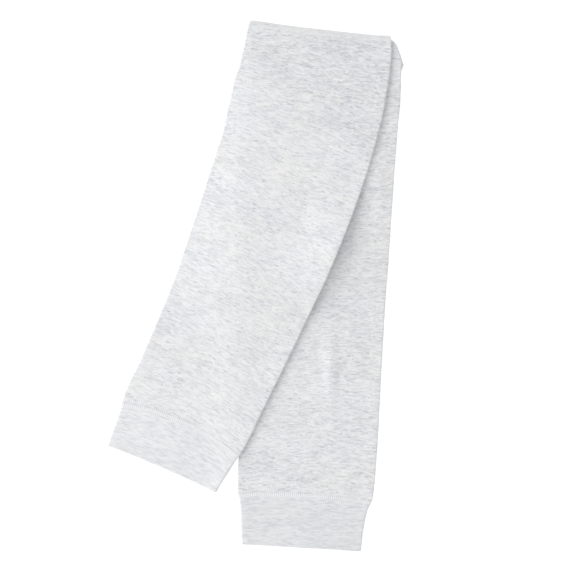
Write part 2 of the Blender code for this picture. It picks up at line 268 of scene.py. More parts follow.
@dataclass
class HeightField:
    """Heights over the table on a square grid, read between its points."""

    cell: float = 2.0
    x_range: Pair = (-150.0, 150.0)
    y_range: Pair = (-260.0, 252.0)
    margin: float = 11.0
    smooth_passes: int = 18

    def __post_init__(self) -> None:
        """Lay out the grid."""
        self.x = np.arange(self.x_range[0], self.x_range[1] + self.cell, self.cell)
        self.y = np.arange(self.y_range[0], self.y_range[1] + self.cell, self.cell)
        self.grid_x, self.grid_y = np.meshgrid(self.x, self.y)
        self.height = np.zeros(self.grid_x.shape)

    def lay_on(self, corners: Sequence[Pair], top: Array | float) -> None:
        """Raise the field inside an outline.

        Args:
            corners: The closed outline.
            top: Height of what lies there, as one number or for each grid point.
        """
        mask = np.zeros(self.grid_x.shape, dtype=bool)
        for (x1, y1), (x2, y2) in zip([corners[-1], *corners], corners):
            if y1 != y2:
                edge = x1 + (self.grid_y - y1) * (x2 - x1) / (y2 - y1)
                mask ^= ((y1 > self.grid_y) != (y2 > self.grid_y)) & (self.grid_x < edge)
        self.height[mask] = np.maximum(self.height, top)[mask]

    def drape(self, slope: float) -> None:
        """Let the field fall away softly past the edges of what it lies on.

        Args:
            slope: Fall of the cloth for each millimetre past the margin.
        """
        reach = int((self.height.max() / slope + self.margin) / self.cell) + 1
        rows, columns = self.height.shape
        padded = np.pad(self.height, reach)
        draped = np.zeros(self.height.shape)
        for i in range(-reach, reach + 1):
            for j in range(-reach, reach + 1):
                run = max(math.hypot(i, j) * self.cell - self.margin, 0.0)
                lowered = padded[reach + i:reach + i + rows, reach + j:reach + j + columns]
                np.maximum(draped, lowered - run * slope, out=draped)
        for _ in range(self.smooth_passes):
            wide = np.pad(draped, 1, mode="edge")
            draped = (wide[:-2, 1:-1] + 2 * wide[1:-1, 1:-1] + wide[2:, 1:-1]) / 4
            wide = np.pad(draped, 1, mode="edge")
            draped = (wide[1:-1, :-2] + 2 * wide[1:-1, 1:-1] + wide[1:-1, 2:]) / 4
        self.height = draped

    def at(self, x: Array, y: Array) -> Array:
        """Read the field.

        Args:
            x: Places across the page.
            y: Places up the page.

        Returns:
            The height at each place.
        """
        column = np.clip((x - self.x[0]) / self.cell, 0, len(self.x) - 1.001)
        row = np.clip((y - self.y[0]) / self.cell, 0, len(self.y) - 1.001)
        j, i = column.astype(int), row.astype(int)
        fx, fy = column - j, row - i
        low = self.height[i, j] * (1 - fx) + self.height[i, j + 1] * fx
        high = self.height[i + 1, j] * (1 - fx) + self.height[i + 1, j + 1] * fx
        return low * (1 - fy) + high * fy


# Sections


@dataclass
class Section:
    """Closed section of a piece, with its first point repeated at the end.

    `across` and `height` are the outer face, and `anchor` is where each point is held on the
    centre line's plane.  The points run from the seam on the right over the top to the left.
    """

    across: Array
    height: Array
    anchor: Array
    halves: Pair
    thick: float

    def __post_init__(self) -> None:
        """Work out the way round and the outward normals."""
        across, height = self.across[:-1], self.height[:-1]
        run_across = np.roll(across, -1) - np.roll(across, 1)
        run_height = np.roll(height, -1) - np.roll(height, 1)
        length = np.hypot(run_across, run_height)
        normal_across, normal_height = run_height / length, -run_across / length
        self.normal_across = np.append(normal_across, normal_across[0])
        self.normal_height = np.append(normal_height, normal_height[0])
        steps = np.hypot(np.diff(self.across), np.diff(self.height))
        self.around = np.concatenate(([0.0], np.cumsum(steps)))

    def face(self, inset: Array | float) -> tuple[Array, Array]:
        """Across and height of the points, moved into the cloth by `inset`."""
        return self.across - inset * self.normal_across, self.height - inset * self.normal_height


@dataclass(frozen=True)
class FlatTube:
    """Section of a tube of cloth that lies flat, from its inseam round and back to it."""

    columns: int
    fold_steps: int
    inseam_turn: float = 30.0   # degrees below the middle of the right fold
    squareness: float = 0.72    # 1 is a half round side fold and less is squarer

    def section(self, half_left: float, half_right: float, thick: float) -> Section:
        """Make one section.

        Args:
            half_left: Half width to the left of the centre line.
            half_right: Half width to the right.
            thick: Thickness over both layers.

        Returns:
            The section, with heights measured from the tube's middle.
        """
        radius = thick / 2
        left, right = -half_left + radius, half_right - radius
        start = math.radians(-self.inseam_turn)
        quarter = math.pi / 2
        row = np.linspace(right, left, self.columns)
        upper = np.linspace(start, quarter, round(self.fold_steps * 2 / 3), endpoint=False)
        far = np.linspace(quarter, 3 * quarter, self.fold_steps + 1)[1:-1]
        lower = np.linspace(-quarter, start, round(self.fold_steps / 3) + 1)[1:]
        centre = np.concatenate((
            np.full(len(upper), right), row, np.full(len(far), left),
            row[::-1], np.full(len(lower), right),
        ))
        angle = np.concatenate((
            upper, np.full(len(row), quarter), far, np.full(len(row), -quarter), lower,
        ))
        out = np.sign(np.cos(angle)) * np.abs(np.cos(angle)) ** self.squareness
        up = np.sign(np.sin(angle)) * np.abs(np.sin(angle)) ** self.squareness
        out = np.where(np.abs(angle % math.pi - quarter) < 1e-6, 0.0, out)
        return Section(centre + radius * out, radius * up, centre, (half_left, half_right), thick)


@dataclass(frozen=True)
class FoldedStack:
    """Section of the seat folded in half: two flat tubes' width of cloth round one cleft."""

    columns: int = 46
    lobe_steps: int = 12
    cleft: float = 0.3
    layer_step: float = 1.6     # the upper half stops this much short of the lower one
    open_groove: float = 0.9    # share of a lobe's radius
    closed_groove: float = 0.25
    groove_turn: float = 0.8    # share of a quarter turn, beside the groove
    inner_reach: float = 2.6    # radii of a lobe from the right side to the end of the cleft

    def section(self, half_left: float, half_right: float, thick: float, joined: bool) -> Section:
        """Make one section, which stands on the table.

        Args:
            half_left: Half width to the left of the centre line.
            half_right: Half width to the right.
            thick: Thickness of the stack.
            joined: True where the right side is one closed fold.

        Returns:
            The section, with heights measured from the table.
        """
        lobe = (thick - self.cleft) / 4
        middle, top, bend, quarter = thick / 2, thick - lobe, self.cleft / 2, math.pi / 2
        groove = lobe * (self.closed_groove if joined else self.open_groove)
        right, lower_left = half_right - lobe, -half_left + lobe
        upper_left = -half_left + lobe + self.layer_step
        inner_right = half_right - self.inner_reach * lobe

        def arc(centre: float, height: float, start: float, end: float) -> tuple[Array, Array]:
            """Points round one folded edge, without its two ends."""
            angle = np.linspace(start, end, self.lobe_steps + 1)[1:-1]
            return centre + lobe * np.cos(angle), height + lobe * np.sin(angle)

        def row(start: float, end: float, height: float) -> tuple[Array, Array]:
            """Points along one flat layer."""
            return np.linspace(start, end, self.columns), np.full(self.columns, height)

        turn = np.linspace(0, math.pi, self.lobe_steps + 1)[1:-1]
        bottom = (np.array([half_right - groove]), np.array([middle]))
        parts = [
            bottom,
            arc(right, top, -quarter * self.groove_turn, quarter),
            row(right, upper_left, thick),
            arc(upper_left, top, quarter, 3 * quarter),
            row(upper_left, inner_right, middle + bend),
            (inner_right + bend * np.sin(turn), middle + bend * np.cos(turn)),
            row(inner_right, lower_left, middle - bend),
            arc(lower_left, lobe, quarter, 3 * quarter),
            row(lower_left, right, 0.0),
            arc(right, lobe, -quarter, quarter * self.groove_turn),
            bottom,
        ]
        across, height = (np.concatenate(column) for column in zip(*parts))
        in_groove = (across > right) & (across < half_right - groove) & (np.abs(height - middle) < lobe)
        across = np.where(in_groove, half_right - groove, across)
        return Section(across, height, across, (half_left, half_right), thick)


# Cloth meshes


@dataclass
class Ring:
    """One placed section: its points and where they are on the cloth."""

    points: Array
    around: Array
    run: float


def link(item: Item) -> Item:
    """Put an object in the scene."""
    bpy.context.scene.collection.objects.link(item)
    return item


def make_shell(name: str, points: Array, faces: list[Sequence[int]], domain: str, cloth: Array) -> Item:
    """Make a smooth mesh that carries the cloth's own coordinates.

    Args:
        name: Name of the new object.
        points: Its points, in metres.
        faces: Its faces, as lists of points.
        domain: Whether its points or its face corners have the coordinates.
        cloth: The coordinates, in metres.

    Returns:
        The object.
    """
    data = bpy.data.meshes.new(name)
    data.from_pydata(points.reshape(-1, 3).tolist(), [], faces)
    attribute = data.attributes.new(CLOTH_ATTRIBUTE, "FLOAT_VECTOR", domain)
    attribute.data.foreach_set("vector", cloth.astype(np.float32).ravel())
    data.shade_smooth()
    return link(bpy.data.objects.new(name, data))


def dress(item: Item, material: Material, node: str = "") -> Item:
    """Finish a piece, mount it and report it.

    Args:
        item: The piece.
        material: Its finish.
        node: The solid that it stands for, if it stands for one.

    Returns:
        The same piece.
    """
    item.data.materials.append(material)
    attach(item, ROOT)
    if node:
        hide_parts(node)
    LOG.info("%s: %d faces", item.name, len(item.data.polygons))
    return item


def make_cloth(name: str, rings: Sequence[Ring]) -> Item:
    """Join rings into one closed shell.

    The last ring joins the first one, so a sequence down the outer face and back up the
    inner face gives a wall of cloth.

    Args:
        name: Name of the new object.
        rings: Placed sections, all with the same number of points.

    Returns:
        The object, with the cloth's own coordinates at its face corners.
    """
    count, width = len(rings), len(rings[0].points) - 1
    points = np.stack([ring.points[:-1] for ring in rings]) * MM
    around = np.stack([ring.around for ring in rings]) * MM
    run = np.array([ring.run for ring in rings]) * MM
    i, j = np.meshgrid(np.arange(count), np.arange(width), indexing="ij")
    i2, j2 = (i + 1) % count, (j + 1) % width
    faces = np.stack((i * width + j, i * width + j2, i2 * width + j2, i2 * width + j), axis=-1)
    after = np.roll(around, -1, axis=0)
    corners = np.zeros((count, width, 4, 3))
    for corner, place in enumerate((around[:, :-1], around[:, 1:], after[:, 1:], after[:, :-1])):
        corners[:, :, corner, 0] = place
    corners[:, :, :2, 1] = run[:, None, None]
    corners[:, :, 2:, 1] = np.append(run[1:], run[-1])[:, None, None]
    return make_shell(name, points, faces.reshape(-1, 4).tolist(), "CORNER", corners)


@dataclass
class Lay:
    """How one leg and its cuff lie: their line, their fold, and the soft forms in them."""

    line: CentreLine
    shift: float
    bend: float
    field: HeightField
    lifts: tuple[SoftForm, ...] = ()
    top_forms: tuple[SoftForm, ...] = ()
    under_forms: tuple[SoftForm, ...] = ()
    unevenness: tuple[Unevenness, ...] = ()
    edge_puff: Pair = (0.25, 0.2)       # at the left and right side folds
    edge_puff_place: float = 3.0
    edge_puff_width: float = 5.0
    blend_length: float = 20.0
    relief_start: float = 4.0
    relief_ease: float = 30.0
    face_gain: float = 1.3              # how soon the forms of a face end at its side folds
    cover_ease: Pair = (-1.0, 6.0)      # from another leg's edge to where this one is bare
    covered_by: "Lay | None" = None
    cover_table: Table = ()

    @property
    def base(self) -> float:
        """Height of the leg's underside where it leaves the fold."""
        return CLOTH.axis_height + self.bend - CLOTH.leg_thick / 2

    def lift(self, x: Array, y: Array, along: Array, across: Array) -> Array:
        """Height of the leg's underside above the table.

        Args:
            x: Places across the page.
            y: Places up the page.
            along: The same places down the leg.
            across: The same places from its centre line.

        Returns:
            The height at each place.
        """
        ease = smoothstep(CLOTH.axis_height, CLOTH.axis_height + self.blend_length, along)
        height = self.base + (self.field.at(x, y) - self.base) * ease
        for form in self.lifts:
            height = height + form.at(along, across)
        return np.maximum(height, 0.0)

    def uncovered(self, x: Array, y: Array) -> Array:
        """Find what no other leg lies on.

        Args:
            x: Places across the page.
            y: Places up the page.

        Returns:
            A share for each place: 1 is bare and 0 is covered.
        """
        if self.covered_by is None:
            return np.ones(np.shape(x))
        along, across = self.covered_by.line.locate(x, y)
        rows = np.array(self.cover_table)
        return smoothstep(*self.cover_ease, across - np.interp(along, rows[:, 0], rows[:, 2]))

    def place(self, section: Section, along: float, bow: float, inset: Array | float, run: float) -> Ring:
        """Lay a section on what is below it.

        Args:
            section: The section, measured from its middle.
            along: Distance down the leg.
            bow: How far the section's middle lies back towards the fold.
            inset: Depth below the outer face.
            run: Distance down the cloth's own length.

        Returns:
            The placed section.
        """
        across, height = section.face(inset)
        anchor, (left, right) = section.anchor, section.halves
        cx, cy, heading = self.line.at(along)
        right_x, right_y = direction_across(heading)
        down_x, down_y = direction_down(heading)
        back = -bow * (1 - (2 * (anchor + left) / (left + right) - 1) ** 2)
        anchor_x = cx + right_x * anchor + down_x * back
        anchor_y = cy + right_y * anchor + down_y * back
        x = anchor_x + right_x * (across - anchor)
        y = anchor_y + right_y * (across - anchor)
        places = np.full(anchor.shape, along)
        z = self.lift(anchor_x, anchor_y, places, anchor) + section.thick / 2 + height
        z = z + self.relief(section, places, anchor_x, anchor_y)
        return Ring(np.column_stack((x, y, z)), section.around, run)

    def relief(self, section: Section, along: Array, x: Array, y: Array) -> Array:
        """Creases, puffed edges and unevenness.

        Args:
            section: The section that is laid.
            along: Distance down the leg for each point.
            x: Places across the page.
            y: Places up the page.

        Returns:
            Height to add to each point.
        """
        anchor, (left, right) = section.anchor, section.halves
        top, under, fine = (
            sum((form.at(along, anchor) for form in forms), np.zeros(anchor.shape))
            for forms in (self.top_forms, self.under_forms, self.unevenness)
        )
        for distance, puff in zip((anchor + left, right - anchor), self.edge_puff):
            fine += puff * np.exp(-((distance - self.edge_puff_place) / self.edge_puff_width) ** 2)
        start = self.relief_start
        fine = fine * smoothstep(start, start + self.relief_ease, along) * self.uncovered(x, y)
        above = np.clip(section.normal_height * self.face_gain, 0, 1)
        below = np.clip(-section.normal_height * self.face_gain, 0, 1)
        return above * (top + fine) + below * under

    def place_bent(self, section: Section, turn: float, tail: float, inset: float) -> Ring:
        """Lay a section round the fold at the top.

        Args:
            section: The section, measured from its middle.
            turn: Degrees round the fold: 0 is on top and 180 is underneath.
            tail: Distance that the section lies back from the fold, underneath.
            inset: Depth below the outer face.

        Returns:
            The placed section.
        """
        across, height = section.face(inset)
        cx, cy, heading = self.line.at(CLOTH.axis_height)
        right_x, right_y = direction_across(heading)
        down_x, down_y = direction_down(heading)
        angle = math.radians(turn)
        reach = self.bend + height
        share = (across + self.shift) / NOSE_LEFT
        rise = sum(
            depth * np.clip(side * share, 0, 1) ** power
            for side, depth, power in zip((-1, 1), FOLD_RISE, FOLD_RISE_POWER)
        )
        out = reach * math.sin(angle) - tail + rise * math.sin(angle)
        x = cx + right_x * across - down_x * out
        y = cy + right_y * across - down_y * out
        points = np.column_stack((x, y, CLOTH.axis_height + reach * math.cos(angle)))
        run = CLOTH.axis_height - angle * (self.bend + CLOTH.leg_thick / 2) - tail
        return Ring(points, section.around, run)


def widths(table: Table, along: float) -> Triple:
    """Half width left, half width right and last column of a table at a distance along."""
    rows = np.array(table, dtype=float)
    return tuple(float(np.interp(along, rows[:, 0], rows[:, column])) for column in (1, 2, 3))


def girth_of(left: Array | float, right: Array | float, thick: float) -> Array | float:
    """Length once round a tube of cloth that lies flat, from its half widths and thickness."""
    return 2 * (left + right - thick) + math.pi * thick


def area_of(rows: Array, girth: Array) -> float:
    """Area of cloth laid out flat, from its table and its girth at each row."""
    return float(np.sum((girth[1:] + girth[:-1]) / 2 * np.diff(rows[:, 0])))


def tube_area(table: Table, thick: float) -> float:
    """Area of a flat tube of cloth, from its table and its thickness."""
    rows = np.array(table, dtype=float)
    return area_of(rows, girth_of(rows[:, 1], rows[:, 2], thick))


def flat_cut(width: float, length: float, area: float) -> Cut:
    """Width and length in metres, and area in square metres, from millimetres."""
    return (width * MM, length * MM), area * MM * MM


# Finishes


class Nodes:
    """Adds and links the nodes of one node tree."""

    def __init__(self, tree: bpy.types.NodeTree) -> None:
        """Keep the tree."""
        self.tree = tree

    def plug(self, target: Socket, source: Value | Sequence[float]) -> None:
        """Link a socket, or set its value.

        Args:
            target: An input socket.
            source: The socket to link it to, or its value.
        """
        if isinstance(source, bpy.types.NodeSocket):
            self.tree.links.new(source, target)
        else:
            target.default_value = source

    def add(self, kind: str, plugs: dict[str | int, Value | Sequence[float]], **settings: object) -> Socket:
        """Add a node.

        Args:
            kind: Blender's name for the node's class, without its first part.
            plugs: What its input sockets get, by name or number.
            settings: Properties to set on it.

        Returns:
            Its first output.
        """
        node = self.tree.nodes.new("ShaderNode" + kind)
        for key, value in settings.items():
            setattr(node, key, value)
        for key, value in plugs.items():
            self.plug(node.inputs[key], value)
        return node.outputs[0]

    def math(self, operation: str, *values: Value) -> Socket:
        """A Math node's result."""
        return self.add("Math", dict(enumerate(values)), operation=operation)

    def ease(self, value: Socket, low: float | Socket, high: float | Socket) -> Socket:
        """A value eased from 0 at `low` to 1 at `high`."""
        plugs = {"Value": value, "From Min": low, "From Max": high}
        return self.add("MapRange", plugs, interpolation_type="SMOOTHSTEP")

    def vector(self, x: Value, y: Value, z: Value) -> Socket:
        """Three values as a vector."""
        return self.add("CombineXYZ", {0: x, 1: y, 2: z})

    def noise(self, place: Socket, scale: float, detail: float = 1.0) -> Socket:
        """Smooth noise between 0 and 1 at a place."""
        return self.add("TexNoise", {"Vector": place, "Scale": scale, "Detail": detail})

    def split(self, vector: Socket) -> tuple[Socket, Socket]:
        """The first two values of a vector."""
        around = self.add("SeparateXYZ", {0: vector})
        return around, around.node.outputs[1]

    def bump(self, height: Socket, strength: float, distance: float) -> Socket:
        """The normal of a surface with this relief."""
        return self.add("Bump", {"Strength": strength, "Distance": distance, "Height": height})

    def mix(self, share: Value, first: Socket | Triple, second: Socket | Triple) -> Socket:
        """Mix two colours.

        Args:
            share: 0 gives the first one and 1 the second.
            first: A colour.
            second: Another colour.

        Returns:
            The mixed colour.
        """
        node = self.add("Mix", {}, data_type="RGBA").node
        sockets = {socket.identifier: socket for socket in node.inputs}
        for name, source in (("Factor_Float", share), ("A_Color", first), ("B_Color", second)):
            self.plug(sockets[name], (*source, 1.0) if isinstance(source, tuple) else source)
        return next(socket for socket in node.outputs if socket.identifier == "Result_Color")


class Effect(Enum):
    """The shader node groups that the finishes share."""

    STREAKS = "heather_streaks"
    LOOPS = "knit_loops"
    TONE = "cloth_tone"


class EffectLibrary:
    """Builds each shared effect once, as a shader node group with named sockets."""

    row_stagger = 7.31          # moves the noise on from one row of loops to the next
    row_wander = (70.0, 3.0)    # how closely the rows wander, and by how many rows
    plain_body = 0.25           # share of a streak's strength at the edges of its row
    loop_depth = 0.35
    ditch_power = 4.0           # how narrow the ditch between two wales is
    nap_scale = 1900.0
    tone_stretch = (0.7, 1.5, 1.0)
    tone_scales = (28.0, 130.0)     # of the wide patches and of the close ones
    tone_close = 0.8
    tone_gain = 3.0

    def __init__(self) -> None:
        """Build the groups."""
        build = {Effect.STREAKS: self._streaks, Effect.LOOPS: self._loops, Effect.TONE: self._tone}
        self.groups = {effect: make() for effect, make in build.items()}

    def use(self, nodes: Nodes, effect: Effect, **values: Value) -> Socket:
        """Place an effect in a material.

        Args:
            nodes: The material's nodes.
            effect: Which effect.
            values: What each input socket gets, by name.

        Returns:
            The effect's result.
        """
        return nodes.add("Group", values, node_tree=self.groups[effect])

    @staticmethod
    def _open(effect: Effect, names: Sequence[str], result: str) -> tuple[Nodes, dict[str, Socket], Socket]:
        """Start a node group.

        Args:
            effect: The group's effect, which names it.
            names: Its input sockets after the cloth's own coordinates.
            result: Its output socket.

        Returns:
            Its nodes, what its input sockets give, and the socket for its result.
        """
        tree = bpy.data.node_groups.new(effect.value, "ShaderNodeTree")
        tree.interface.new_socket("Cloth", in_out="INPUT", socket_type="NodeSocketVector")
        for name in names:
            tree.interface.new_socket(name, in_out="INPUT", socket_type="NodeSocketFloat")
        tree.interface.new_socket(result, in_out="OUTPUT", socket_type="NodeSocketFloat")
        given = tree.nodes.new("NodeGroupInput").outputs
        out = tree.nodes.new("NodeGroupOutput").inputs[result]
        return Nodes(tree), {name: given[name] for name in ("Cloth", *names)}, out

    def _streaks(self) -> bpy.types.NodeTree:
        """Short darker streaks of yarn that lie along the rows of loops.

        Returns:
            A group that gives a mask: 0 is plain yarn and 1 is the middle of a streak.
        """
        names = ("Course", "Length", "Cover", "Soft", "Seed")
        nodes, given, out = self._open(Effect.STREAKS, names, "Mask")
        around, run = nodes.split(given["Cloth"])
        scale, reach = self.row_wander
        wander = nodes.noise(nodes.vector(around, run, given["Seed"]), scale)
        wander = nodes.math("MULTIPLY", nodes.math("SUBTRACT", wander, 0.5), reach)
        row = nodes.math("ADD", nodes.math("DIVIDE", run, given["Course"]), wander)
        off = nodes.math("SUBTRACT", nodes.math("MULTIPLY", nodes.math("FRACT", row), 2.0), 1.0)
        body = nodes.math("SUBTRACT", 1.0, nodes.math("MULTIPLY", off, off))
        step = nodes.math("MULTIPLY", nodes.math("FLOOR", row), self.row_stagger)
        place = nodes.math("ADD", nodes.math("DIVIDE", around, given["Length"]), step)
        dye = nodes.noise(nodes.vector(place, step, given["Seed"]), 1.0, 2.0)
        mask = nodes.ease(dye, given["Cover"], nodes.math("ADD", given["Cover"], given["Soft"]))
        body = nodes.math("MULTIPLY_ADD", body, 1.0 - self.plain_body, self.plain_body)
        nodes.plug(out, nodes.math("MULTIPLY", mask, body))
        return nodes.tree

    def _loops(self) -> bpy.types.NodeTree:
        """The knit's rows of V-shaped loops under a brushed nap.

        Returns:
            A group that gives a height between 0 and 1 for a bump and for the painted shade in the dips
            between the loops.
        """
        nodes, given, out = self._open(Effect.LOOPS, ("Wale", "Course", "Nap"), "Height")
        around, run = nodes.split(given["Cloth"])
        wale = nodes.math("FRACT", nodes.math("DIVIDE", around, given["Wale"]))
        side = nodes.math("ABSOLUTE", nodes.math("MULTIPLY_ADD", wale, 2.0, -1.0))
        rise = nodes.math("ADD", nodes.math("DIVIDE", run, given["Course"]), side)
        wave = nodes.math("SINE", nodes.math("MULTIPLY", rise, 2 * math.pi))
        loop = nodes.math("MULTIPLY_ADD", wave, self.loop_depth, 1.0 - self.loop_depth)
        ditch = nodes.math("SUBTRACT", 1.0, nodes.math("POWER", side, self.ditch_power))
        loop = nodes.math("MULTIPLY", loop, ditch)
        nap = nodes.noise(given["Cloth"], self.nap_scale, 3.0)
        extra = nodes.math("MULTIPLY", nodes.math("SUBTRACT", nap, loop), given["Nap"])
        nodes.plug(out, nodes.math("ADD", loop, extra))
        return nodes.tree

    def _tone(self) -> bpy.types.NodeTree:
        """Slow patches where the yarn is a little lighter or darker.

        Returns:
            A group that gives a value between minus and plus Amount.
        """
        nodes, given, out = self._open(Effect.TONE, ("Amount", "Seed"), "Shift")
        move = {0: given["Cloth"], 1: nodes.vector(0.0, 0.0, given["Seed"])}
        moved = nodes.add("VectorMath", move, operation="ADD")
        place = nodes.add("VectorMath", {0: moved, 1: self.tone_stretch}, operation="MULTIPLY")
        wide, close = (nodes.math("SUBTRACT", nodes.noise(place, scale), 0.5) for scale in self.tone_scales)
        both = nodes.math("MULTIPLY_ADD", close, self.tone_close, wide)
        shift = nodes.math("MULTIPLY", nodes.math("MULTIPLY", both, self.tone_gain), given["Amount"])
        nodes.plug(out, shift)
        return nodes.tree


def start_material(name: str) -> tuple[Material, Nodes, bpy.types.Node, Socket]:
    """Start a material.

    Args:
        name: Its name.

    Returns:
        The material, its nodes, its shader and the cloth's own coordinates.
    """
    item = bpy.data.materials.new(name)
    item.use_nodes = True
    nodes = Nodes(item.node_tree)
    cloth = nodes.add("Attribute", {}, attribute_name=CLOTH_ATTRIBUTE).node.outputs["Vector"]
    return item, nodes, item.node_tree.nodes["Principled BSDF"], cloth


class Yarn(Enum):
    """What a streak is dyed."""

    GREY = "grey"
    PALE = "pale"


@dataclass(frozen=True)
class StreakLayer:
    """One size of streak in the yarn, in metres."""

    yarn: Yarn
    course: float
    length: float
    cover: float
    soft: float
    depth: float


@dataclass(frozen=True)
class KnitFinish:
    """Brushed cotton knit: off-white, with pale grey streaks along its rows."""

    name: str
    seed: float
    cool: Triple = (0.830, 0.838, 0.853)
    warm: Triple = (0.842, 0.840, 0.833)
    grey: Triple = (0.41, 0.435, 0.49)
    pale: Triple = (0.895, 0.892, 0.865)
    layers: tuple[StreakLayer, ...] = (
        StreakLayer(Yarn.GREY, 0.00120, 0.0085, 0.38, 0.34, 0.54),
        StreakLayer(Yarn.GREY, 0.00095, 0.0038, 0.40, 0.30, 0.42),
        StreakLayer(Yarn.PALE, 0.00140, 0.0060, 0.52, 0.18, 0.50),
        StreakLayer(Yarn.GREY, 0.00115, 0.0065, 0.61, 0.09, 0.66),
    )
    hue_seed: float = 5.3       # keeps the hue's patches apart from the tone's
    hue_reach: float = 0.9
    layer_seed: float = 3.7     # keeps the layers of streaks apart
    contrast: float = 1.0       # of the streaks
    dye: float = 1.0            # share of the light that the whole piece gives back
    tone: float = 0.017
    clusters: float = 1.6       # the tone also moves the streaks' cover by this much
    fold_cover: float = 0.0     # extra cover near the fold at the top
    fold_painted_shade: float = 0.0     # painted shade: the colour is this much darker there
    fold_contrast: float = 0.0  # and the streaks are this much stronger
    fold_reach: float = 0.105   # how far from the fold it ends on the right
    fold_ease: float = 0.014    # how softly it ends
    fold_slant: float = 0.45    # it ends this much nearer for each metre to the left
    bend_fade: float = 0.0      # share of the streaks' strength lost on the bend itself
    bend_reach: float = 0.0085
    bend_ease: float = 0.005
    wale: float = 0.00065
    course: float = 0.00055
    nap: float = 0.55
    bump: float = 0.5
    bump_depth: float = 0.00025
    painted_cavity_shade: float = 0.10        # painted shade: the dips between the loops are this much darker in colour
    roughness: float = 0.92
    sheen: float = 0.12
    sheen_roughness: float = 0.6

    def material(self, effects: EffectLibrary) -> Material:
        """Make the material.

        Args:
            effects: The shared effects.

        Returns:
            A material that reads the cloth's own coordinates.
        """
        item, nodes, shader, cloth = start_material(self.name)
        near_fold, on_bend = self._fold_masks(nodes, cloth)
        tone = effects.use(nodes, Effect.TONE, Cloth=cloth, Amount=self.tone, Seed=self.seed)
        hue = effects.use(nodes, Effect.TONE, Cloth=cloth, Amount=1.0, Seed=self.seed + self.hue_seed)
        colour = nodes.mix(nodes.ease(hue, -self.hue_reach, self.hue_reach), self.cool, self.warm)
        strength = nodes.math("MULTIPLY_ADD", near_fold, self.fold_contrast, self.contrast)
        strength = nodes.math("MULTIPLY_ADD", on_bend, -self.bend_fade, strength)
        deepest = None
        for number, layer in enumerate(self.layers):
            side, dye = (1.0, self.grey) if layer.yarn is Yarn.GREY else (-1.0, self.pale)
            cover = nodes.math("MULTIPLY_ADD", near_fold, -side * self.fold_cover, layer.cover)
            cover = nodes.math("MULTIPLY_ADD", tone, side * self.clusters, cover)
            mask = effects.use(
                nodes, Effect.STREAKS, Cloth=cloth, Course=layer.course, Length=layer.length,
                Cover=cover, Soft=layer.soft, Seed=self.seed + number * self.layer_seed,
            )
            mask = nodes.math("MULTIPLY", nodes.math("MULTIPLY", mask, layer.depth), strength)
            colour = nodes.mix(mask, colour, dye)
            deepest = mask if deepest is None else nodes.math("MAXIMUM", deepest, mask)
        loops = effects.use(
            nodes, Effect.LOOPS, Cloth=cloth, Wale=self.wale, Course=self.course, Nap=self.nap,
        )
        # painted shade: the colour is darker in the dips between the loops
        light = nodes.math("ADD", tone, self.dye - self.painted_cavity_shade / 2)
        # painted shade: the colour is darker near the fold
        light = nodes.math("MULTIPLY_ADD", near_fold, -self.fold_painted_shade, light)
        light = nodes.math("MULTIPLY_ADD", loops, self.painted_cavity_shade, light)
        lit = nodes.add("VectorMath", {}, operation="SCALE").node
        nodes.plug(lit.inputs[0], colour)
        nodes.plug(lit.inputs["Scale"], light)
        nodes.plug(shader.inputs["Base Color"], lit.outputs[0])
        relief = nodes.math("SUBTRACT", loops, deepest)
        nodes.plug(shader.inputs["Normal"], nodes.bump(relief, self.bump, self.bump_depth))
        shader.inputs["Roughness"].default_value = self.roughness
        shader.inputs["Sheen Weight"].default_value = self.sheen
        shader.inputs["Sheen Roughness"].default_value = self.sheen_roughness
        return item

    def _fold_masks(self, nodes: Nodes, cloth: Socket) -> tuple[Socket, Socket]:
        """Masks of the cloth near the fold at the top.

        Args:
            nodes: The material's nodes.
            cloth: The cloth's own coordinates.

        Returns:
            The cloth near the fold at the top, which gets denser streaks and painted shade, and the cloth
            that runs round it.
        """
        around, run = nodes.split(cloth)
        edge = nodes.math("MULTIPLY_ADD", around, self.fold_slant, run)
        near_fold = nodes.ease(edge, self.fold_reach + self.fold_ease, self.fold_reach - self.fold_ease)
        return near_fold, nodes.ease(run, self.bend_reach, self.bend_reach - self.bend_ease)


@dataclass(frozen=True)
class ThreadFinish:
    """Off-white overlock thread with a twist."""

    name: str = "overlock_thread"
    base: Triple = (0.84, 0.845, 0.855)
    # painted shade in the grooves of the twist
    shade: Triple = (0.66, 0.68, 0.71)
    twist: float = 0.0009
    groove_shade_scale: float = 900.0
    bump: float = 0.4
    bump_depth: float = 0.0001
    roughness: float = 0.75

    def material(self) -> Material:
        """Make the material.

        Returns:
            A material that reads the stitches' own coordinates.
        """
        item, nodes, shader, cloth = start_material(self.name)
        turn = nodes.math("ADD", *nodes.split(cloth))
        wave = nodes.math("SINE", nodes.math("MULTIPLY", turn, 2 * math.pi / self.twist))
        height = nodes.math("MULTIPLY_ADD", wave, 0.5, 0.5)
        # painted shade: the grooves of the twist are darkened, more in some patches than others
        groove_shade_patches = nodes.noise(cloth, self.groove_shade_scale, 2.0)
        share = nodes.math("MULTIPLY", nodes.math("SUBTRACT", 1.0, height), groove_shade_patches)
        nodes.plug(shader.inputs["Base Color"], nodes.mix(share, self.base, self.shade))
        nodes.plug(shader.inputs["Normal"], nodes.bump(height, self.bump, self.bump_depth))
        shader.inputs["Roughness"].default_value = self.roughness
        return item


# Pieces of the garment


@dataclass
class Piece:
    """A piece of the garment that is one closed shell of cloth."""

    node: str
    suffix: str
    slot: str

    def rings(self) -> list[Ring]:
        """Sections down the outer face and back up the inner face."""
        raise NotImplementedError

    def cut(self) -> Cut:
        """Width, length and area of the flat cut of what shows, in metres."""
        raise NotImplementedError

    def build(self, material: Material) -> Item:
        """Build the piece and dress it in a material."""
        item = make_cloth(f"{self.node}_{self.suffix}", self.rings())
        return dress(item, material, self.node)


